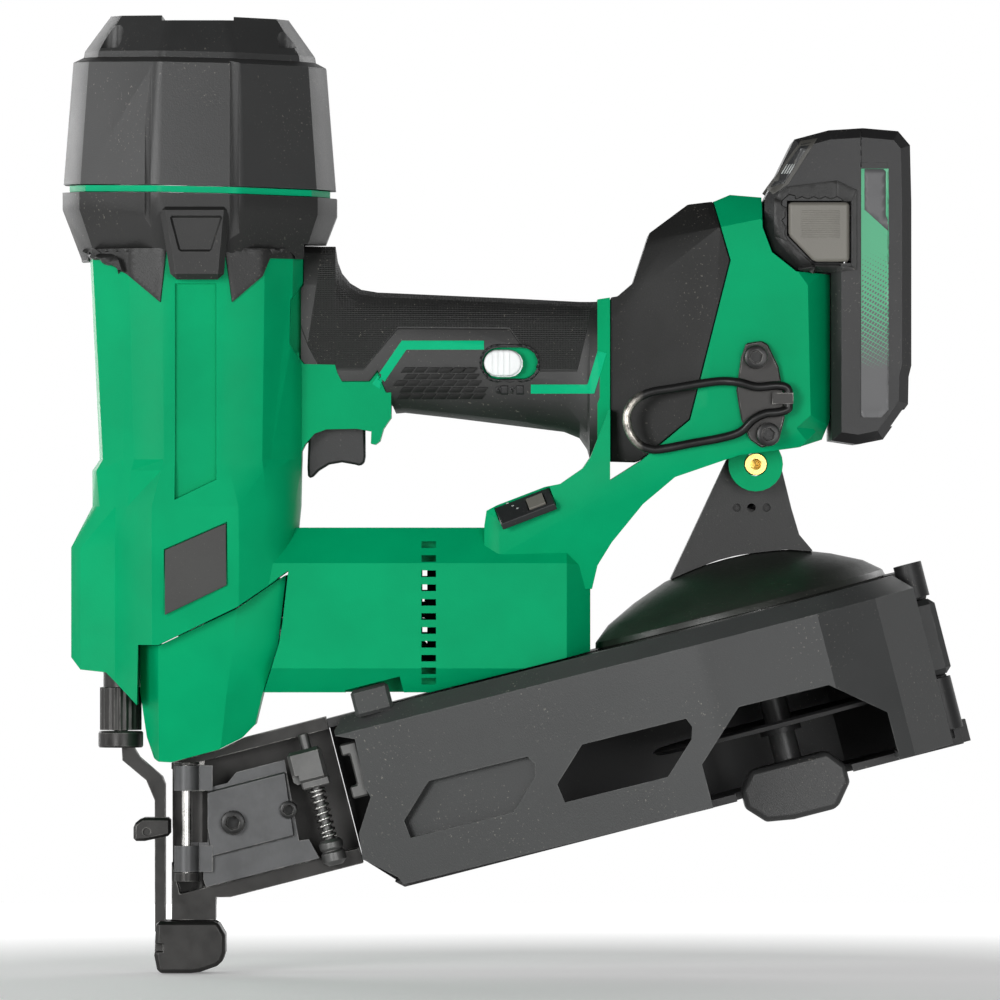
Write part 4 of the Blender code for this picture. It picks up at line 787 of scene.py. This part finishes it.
def collar_claws():
    """Black claws that reach from the head collar down over the housing, on both sides of its tongue."""
    left = [(-40.5, 263.4), (-38.3, 259.4), (-26.3, 259.4), (-24.5, 254.0), (-12.4, 243.9), (-10.2, 263.4)]
    right = [(11.2, 263.4), (13.8, 243.9), (24.8, 253.4), (27.4, 259.8), (39.0, 259.8), (39.4, 263.4)]
    for side, label in SIDES:
        target = (surface_of("housing_" + label), side)
        laid_on("collar_claws_" + label, [left, right], target, JET, "tool_body", 1.0, 1.8, 2.2, 0.3)


def thumb_face():
    """The lock slider's crowned face: a stadium with rounded rims and ribs over its front part."""
    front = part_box("lock_slider")[0].y / MM
    x0, x1, z0, z1 = 104.8, 118.4, 217.2, 227.0
    rim_width, crown_height, rib_height, rib_pitch = 1.1, 0.9, 0.28, 2.1
    radius = (z1 - z0) / 2
    middle = (z0 + z1) / 2
    columns, rows = 90, 18
    points = []
    for c in range(columns + 1):
        x = x0 + (x1 - x0) * (1 - math.cos(math.pi * c / columns)) / 2
        past_end = max(0, x0 + radius - x, x - x1 + radius)
        half = max(0.05, math.sqrt(max(0.0, radius**2 - past_end**2)))
        ribbed = x0 + 1.5 < x < x1 - 3.5
        rib = max(0.0, math.sin((x - x0) * 2 * math.pi / rib_pitch)) if ribbed else 0.0
        for r in range(rows + 1):
            t = -1 + 2 * r / rows
            rim = max(0.0, min(1.0, (radius - math.hypot(past_end, t * half)) / rim_width))
            crown = crown_height * math.sqrt(max(0.0, 1 - (1 - rim) ** 2))
            points.append(at(x, front - crown - rib_height * rib * rim, middle + t * half))
    n = rows + 1
    corners = [c * n + r for c in range(columns) for r in range(rows)]
    faces = [(i, i + n, i + n + 1, i + 1) for i in corners]
    obj = new_piece("lock_thumb_face", points, faces, WHITE, "lock")
    modifier(obj, "SOLIDIFY", thickness=0.5 * MM, offset=-1.0)


def padlock(name, x, opened, target):
    """A small generic padlock sign, lying on its side."""
    z, body_length, body_half, bow_radius = 212.3, 2.6, 1.7, 1.15
    end = x + body_length
    body = [(x, z - body_half), (end, z - body_half), (end, z + body_half), (x, z + body_half)]
    arc = []
    bow_x = x - 0.7 - (0.54 if opened else 0.0)
    for i in range(9):
        a = math.pi / 2 + math.pi * i / 8
        arc.append((bow_x + bow_radius * math.cos(a), z + bow_radius * math.sin(a)))
    arc = [(x, z + bow_radius)] + arc + ([] if opened else [(x, z - bow_radius)])
    laid_on(name, [body, ribbon(arc, 0.55)], target, DARK, "tool_body", 0.16, 0.5, 1.2)


def lock_details():
    target = (surface_of("grip_left", "housing_left"), NEAR)
    outer, inner = stadium(103.1, 125.1, 215.6, 229.0), stadium(103.8, 124.4, 216.5, 228.1)
    laid_on("lock_bezel", between(outer, inner), target, DARK, "tool_body", 0.3, 0.6, 3.0)
    thumb_face()
    padlock("lock_mark_closed", 110.96, False, target)
    padlock("lock_mark_open", 116.6175, True, target)


# ---------------------------------------------------------------- hook, screws and springs


def hook_wire():
    centre_line = [
        (214.8, -42.5, 208.0), (214.6, -42.6, 212.4), (211.0, -43.1, 213.7), (203.3, -43.4, 213.2),
        (196.4, -42.9, 214.9), (188.4, -41.6, 215.1), (173.5, -40.6, 212.7),
        (165.2, -40.2, 211.3), (160.0, -40.0, 208.8), (157.0, -40.0, 204.9), (156.5, -40.0, 200.6),
        (158.0, -40.0, 195.9), (161.2, -40.0, 192.2), (165.6, -40.2, 190.6), (170.2, -40.4, 190.9),
        (180.0, -41.0, 192.8), (190.4, -41.8, 194.7), (197.4, -42.6, 196.9), (202.0, -43.2, 201.2),
        (206.4, -43.4, 203.5), (211.0, -43.2, 204.0), (214.6, -42.6, 205.2), (214.8, -42.5, 207.6),
    ]
    path = smooth_path([at(*p) for p in centre_line])
    obj = tube_piece("hook_wire_bent", path, 1.6, WORN_WIRE, "hook", 20)
    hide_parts("hook_wire")


def screw_heads():
    """Knurled socket heads in place of the plain screws of the hook and of the nail door."""
    towards_near = (0, -1, 0)
    for name, x, z in (("hook_screw_upper", 203.2, 224.0), ("hook_screw_lower", 207.6, 196.0)):
        seat = at(x, -40.7, z)
        obj = socket_screw(name + "_head", seat, towards_near, 4.25, 4.4, 4.0, HOOK_STEEL, "tool_body", 0.07)
        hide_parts(name)
    for name in ("door_screw_front", "door_screw_rear"):
        low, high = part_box(name)
        centre = (low + high) / 2
        radius = (high.x - low.x) / MM / 2
        height = (high.y - low.y) / MM
        seat = Vector((centre.x, high.y, centre.z))
        key = radius
        obj = socket_screw(name + "_head", seat, towards_near, radius, height, key, HOOK_STEEL, "door", 0.05)
        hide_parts(name)


def small_screws():
    """The closing screws, all on the far half, and the small screw in the lid's dome."""
    target = (surface_of("housing_right", "grip_right"), FAR)
    spots = [(-30.0, 225.0), (30.0, 222.0), (30.0, 180.0), (122.0, 146.0), (222.0, 210.0)]
    for number, (x, z) in enumerate(spots, 1):
        screw_on(f"housing_screw_{number}", target, x, z, 2.35, 1.0, 2.115, BLACK_STEEL)
    screw_on("lid_screw", (surface_of("magazine_lid"), NEAR), 205.5, 133.2, 2.1, 0.35, 1.6, GUNMETAL)


def springs():
    foot = Matrix.Translation(in_magazine(55.0, -13.5, 18.9)) @ MAG_MATRIX.to_3x3().to_4x4()
    obj = coil_spring("latch_coil", foot, 2.6, 19.0, 7, "tool_body")
    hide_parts("latch_spring")
    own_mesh(obj)
    low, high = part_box("contact_spring")
    centre = (low + high) / 2
    radius = (high.x - low.x) / MM / 2
    length = (high.z - low.z) / MM
    foot = placed(Vector((centre.x, centre.y, low.z)), (0, 0, 1))
    obj = coil_spring("contact_coil", foot, radius - 0.5, length, 8, "tool_body")
    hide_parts("contact_spring")
    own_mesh(obj)


# ---------------------------------------------------------------- battery and panel

BATTERY_LABEL = [
    (241.3, 292.2), (241.3, 203.0), (242.1, 202.2), (248.6, 202.2), (251.2, 205.0), (251.2, 292.2),
]
LABEL_TOP = [(242.5, 292.1), (242.5, 277.4), (251.1, 269.6), (251.1, 272.8), (250.2, 275.4), (250.2, 292.1)]
SURROUND_OUTER = [
    (209.8, 281.7), (214.6, 285.7), (232.5, 287.9), (239.6, 284.5),
    (239.6, 255.6), (224.2, 254.3), (218.6, 256.6), (209.8, 267.7),
]
SURROUND_INNER = [
    (214.9, 279.4), (215.6, 280.3), (232.5, 280.3), (237.9, 280.3),
    (237.9, 257.0), (224.8, 257.0), (223.5, 257.5), (214.9, 266.1),
]
GAUGE = [(207.0, 285.0), (219.4, 302.4), (225.6, 303.4), (215.0, 286.6), (209.4, 283.0)]
GAUGE_WINDOW = [(208.6, 285.7), (219.6, 301.2), (223.2, 301.8), (213.2, 286.9)]
PARTING_LINE = [(241.0, 306.4), (241.1, 300.0), (241.3, 292.9)]


def gauge_bars():
    starts = (212.3, 213.2, 214.1, 215.0)
    width, lean, low, high = 0.42, 2.08, 290.4, 293.9
    return [[(x, low), (x + width, low), (x + width + lean, high), (x + lean, high)] for x in starts]


def key_ribs():
    x0, x1, low, pitch, height = 219.7, 233.4, 267.0, 0.8, 0.4
    lines = [low + pitch * i for i in range(13)]
    return [[(x0, z), (x1, z), (x1, z + height), (x0, z + height)] for z in lines]


# name, outlines, look, then lift, depth, step and edge in mm
BATTERY_PATCHES = [
    ("label", [BATTERY_LABEL], LABEL, 0.14, 0.4, 3.0, 0.05),
    ("label_top", [LABEL_TOP], LABEL_GREY, 0.2, 0.3, 3.0, 0.0),
    ("surround", between(SURROUND_OUTER, SURROUND_INNER), JET, 0.9, 1.2, 3.0, 0.3),
    ("gauge", [GAUGE], LATCH_DARK, 0.3, 0.6, 3.0, 0.12),
    ("window", [GAUGE_WINDOW], PANEL, 0.42, 0.3, 3.0, 0.05),
    ("bars", gauge_bars(), SIGN, 0.5, 0.2, 3.0, 0.0),
    ("parting", [ribbon(PARTING_LINE, 0.35)], DARK, 0.05, 0.3, 1.0, 0.0),
]


def battery_details():
    """Labels, raised latch surrounds, ribbed latch faces, the charge gauge and the case's parting line."""
    for side, label in SIDES:
        target = (surface_of("battery_case"), side)
        for name, outlines, look, *sizes in BATTERY_PATCHES:
            laid_on(f"battery_{name}_{label}", outlines, target, look, "battery", *sizes)
        key = (surface_of("battery_latch_" + label), side)
        laid_on("battery_ribs_" + label, key_ribs(), key, LATCH, "battery_key_" + label, 0.22, 0.5, 4.0, 0.08)


def panel_signs():
    """Three dots on the control panel."""
    target = (surface_of("control_panel", "mode_button", "housing_left"), NEAR)
    dots = [
        [(x - 0.42, z - 0.3), (x + 0.42, z - 0.1), (x + 0.42, z + 0.3), (x - 0.42, z + 0.1)]
        for x, z in ((113.3, 171.2), (115.2, 170.3), (116.9, 169.4))
    ]
    laid_on("panel_dots", dots, target, SIGN, "tool_body", 0.12, 0.3, 1.0)


# ---------------------------------------------------------------- far side

# Sections of the nose cover's far wall: height, x of the rear edge, y of the front and of the rear edge.
NOSE_LEVELS = [(86.0, 20.5, 24.0, 17.5), (101.8, 24.3, 27.0, 21.5), (119.6, 30.0, 30.6, 30.4)]
NOSE_FRONT_X = -13.3
NOSE_BULGE = 1.2


def nose_section(z):
    """The rear edge's x and the two distances of NOSE_LEVELS at a height."""
    low, high = NOSE_LEVELS[:2] if z < NOSE_LEVELS[1][0] else NOSE_LEVELS[1:]
    t = (z - low[0]) / (high[0] - low[0])
    return [a + (b - a) * t for a, b in zip(low[1:], high[1:])]


def nose_wall(x, z):
    """The far outer face of the nose cover, in y."""
    rear, deep, shallow = nose_section(z)
    middle = rear * 0.47
    if x < middle:
        return deep + NOSE_BULGE * (x - NOSE_FRONT_X) / (middle - NOSE_FRONT_X)
    return deep + NOSE_BULGE + (shallow - deep - NOSE_BULGE) * (x - middle) / (rear - middle)


def nose_filler(name, start, end_at, low, high):
    """A closing plate on the nose cover, from x = start to end_at(z)."""
    steps = 6
    rows = []
    for r in range(steps + 1):
        z = low + (high - low) * r / steps
        xs = [start + (end_at(z) - start) * c / steps for c in range(steps + 1)]
        rows.append([at(x, nose_wall(x, z) + 0.12, z) for x in xs])
    slab(name, rows, 1.3, GREEN, 0.1)


def far_side_covers():
    """A blank rating plate on the motor housing, and two fillers on the nose cover."""
    plate = [[at(x, 34.35, z) for x in (55.5, 68.0, 81.0)] for z in (119.5, 135.0, 151.0)]
    slab("rating_plate", plate, 1.1, LABEL_GREY, 0.3)
    nose_filler("nose_filler_upper", 12.2, lambda z: nose_section(z)[0] - 0.3, 107.6, 119.2)
    nose_filler("nose_filler_lower", 8.6, lambda z: 15.0, 86.4, 98.0)


dress_cad_nodes()
grip_details()
collar_claws()
lock_details()
hook_wire()
screw_heads()
springs()
battery_details()
small_screws()
far_side_covers()
panel_signs()


# ---------------------------------------------------------------- stage, light and camera


def stage():
    floor = bpy.data.meshes.new("floor")
    half = 0.75
    corners = [(-half, -half, 0), (half, -half, 0), (half, half, 0), (-half, half, 0)]
    floor.from_pydata(corners, [], [(0, 1, 2, 3)])
    obj = bpy.data.objects.new("floor", floor)
    bpy.context.scene.collection.objects.link(obj)
    obj.location.z = -0.0003
    n = Nodes("pale floor")
    n.shader.inputs["Base Color"].default_value = (0.86, 0.86, 0.86, 1)
    n.shader.inputs["Roughness"].default_value = 0.7
    # Painted light: the floor glows white instead of being lit, at strength 0.2 within 0.2 m of its middle
    # and 1.0 from 0.6 m out (measured across and behind), so it looks lit white far off and meets the
    # backdrop without a seam.
    n.shader.inputs["Emission Color"].default_value = (1, 1, 1, 1)
    across, along = n.axes()[0], n.axes()[1]
    behind = n.math("MAXIMUM", along, 0.0)
    away = n.math("SQRT", n.math("ADD", n.math("POWER", across, 2.0), n.math("POWER", behind, 2.0)))
    n.put(n.span(away, 0.2, 0.6, 0.2, 1.0), n.shader.inputs["Emission Strength"])
    floor.materials.append(n.material)


def studio():
    """A white backdrop behind the object that fades to grey in front of it, overhead and underneath."""
    world = bpy.data.worlds.new("studio")
    bpy.context.scene.world = world
    world.use_nodes = True
    tree = world.node_tree
    coords = tree.nodes.new("ShaderNodeTexCoord").outputs["Generated"]
    split = tree.nodes.new("ShaderNodeSeparateXYZ")
    tree.links.new(coords, split.inputs[0])

    def ramp(value, low, high, stops):
        span = tree.nodes.new("ShaderNodeMapRange")
        tree.links.new(value, span.inputs[0])
        span.inputs[1].default_value, span.inputs[2].default_value = low, high
        node = tree.nodes.new("ShaderNodeValToRGB")
        track = node.color_ramp.elements
        while len(track) < len(stops):
            track.new(0.5)
        for element, (position, level) in zip(track, stops):
            element.position = position
            element.color = (level, level, level, 1)
        tree.links.new(span.outputs[0], node.inputs[0])
        return node.outputs[0]

    levels = [(0.0, 0.7), (0.46, 0.9), (0.48, 1.0), (0.54, 1.0), (0.8, 0.1)]
    upright = ramp(split.outputs[2], -1.0, 1.0, levels)
    facing = ramp(split.outputs[1], -1.0, 1.0, [(0.0, 0.36), (0.45, 0.5), (0.72, 1.0)])
    product = tree.nodes.new("ShaderNodeMix")
    product.data_type = "RGBA"
    product.blend_type = "MULTIPLY"
    product.inputs["Factor"].default_value = 1.0
    tree.links.new(upright, product.inputs[6])
    tree.links.new(facing, product.inputs[7])
    background = tree.nodes["Background"]
    tree.links.new(product.outputs[2], background.inputs[0])
    background.inputs[1].default_value = 1.0


def soft_light(name, where, target, size, power):
    data = bpy.data.lights.new(name, "AREA")
    data.shape = "RECTANGLE"
    data.size, data.size_y = size
    data.energy = power
    obj = bpy.data.objects.new(name, data)
    bpy.context.scene.collection.objects.link(obj)
    obj.location = where
    obj.rotation_euler = (Vector(target) - Vector(where)).to_track_quat("-Z", "Y").to_euler()


def lights():
    middle = at(*VIEW_CENTRE)
    soft_light("key", (-1.0, -1.9, 0.4), middle, (0.7, 0.7), 23)
    soft_light("front", (0.6, -2.1, 0.2), middle, (0.8, 0.8), 14)
    soft_light("side", (-1.8, -0.3, 0.5), middle, (0.5, 0.8), 6)
    soft_light("rim", (0.9, 1.2, 0.8), middle, (0.8, 0.6), 4)
    soft_light("back", (-0.9, 1.6, 0.5), middle, (0.8, 0.8), 7)


def camera():
    data = bpy.data.cameras.new("camera")
    obj = bpy.data.objects.new("camera", data)
    bpy.context.scene.collection.objects.link(obj)
    obj.location = at(VIEW_CENTRE[0], -CAMERA_DISTANCE, VIEW_CENTRE[2])
    obj.rotation_euler = (math.pi / 2, 0, 0)
    data.lens = data.sensor_width * CAMERA_DISTANCE / VIEW_WIDTH
    data.clip_end = 100
    bpy.context.scene.camera = obj
    bpy.context.scene.view_settings.view_transform = "Standard"


stage()
studio()
lights()
camera()
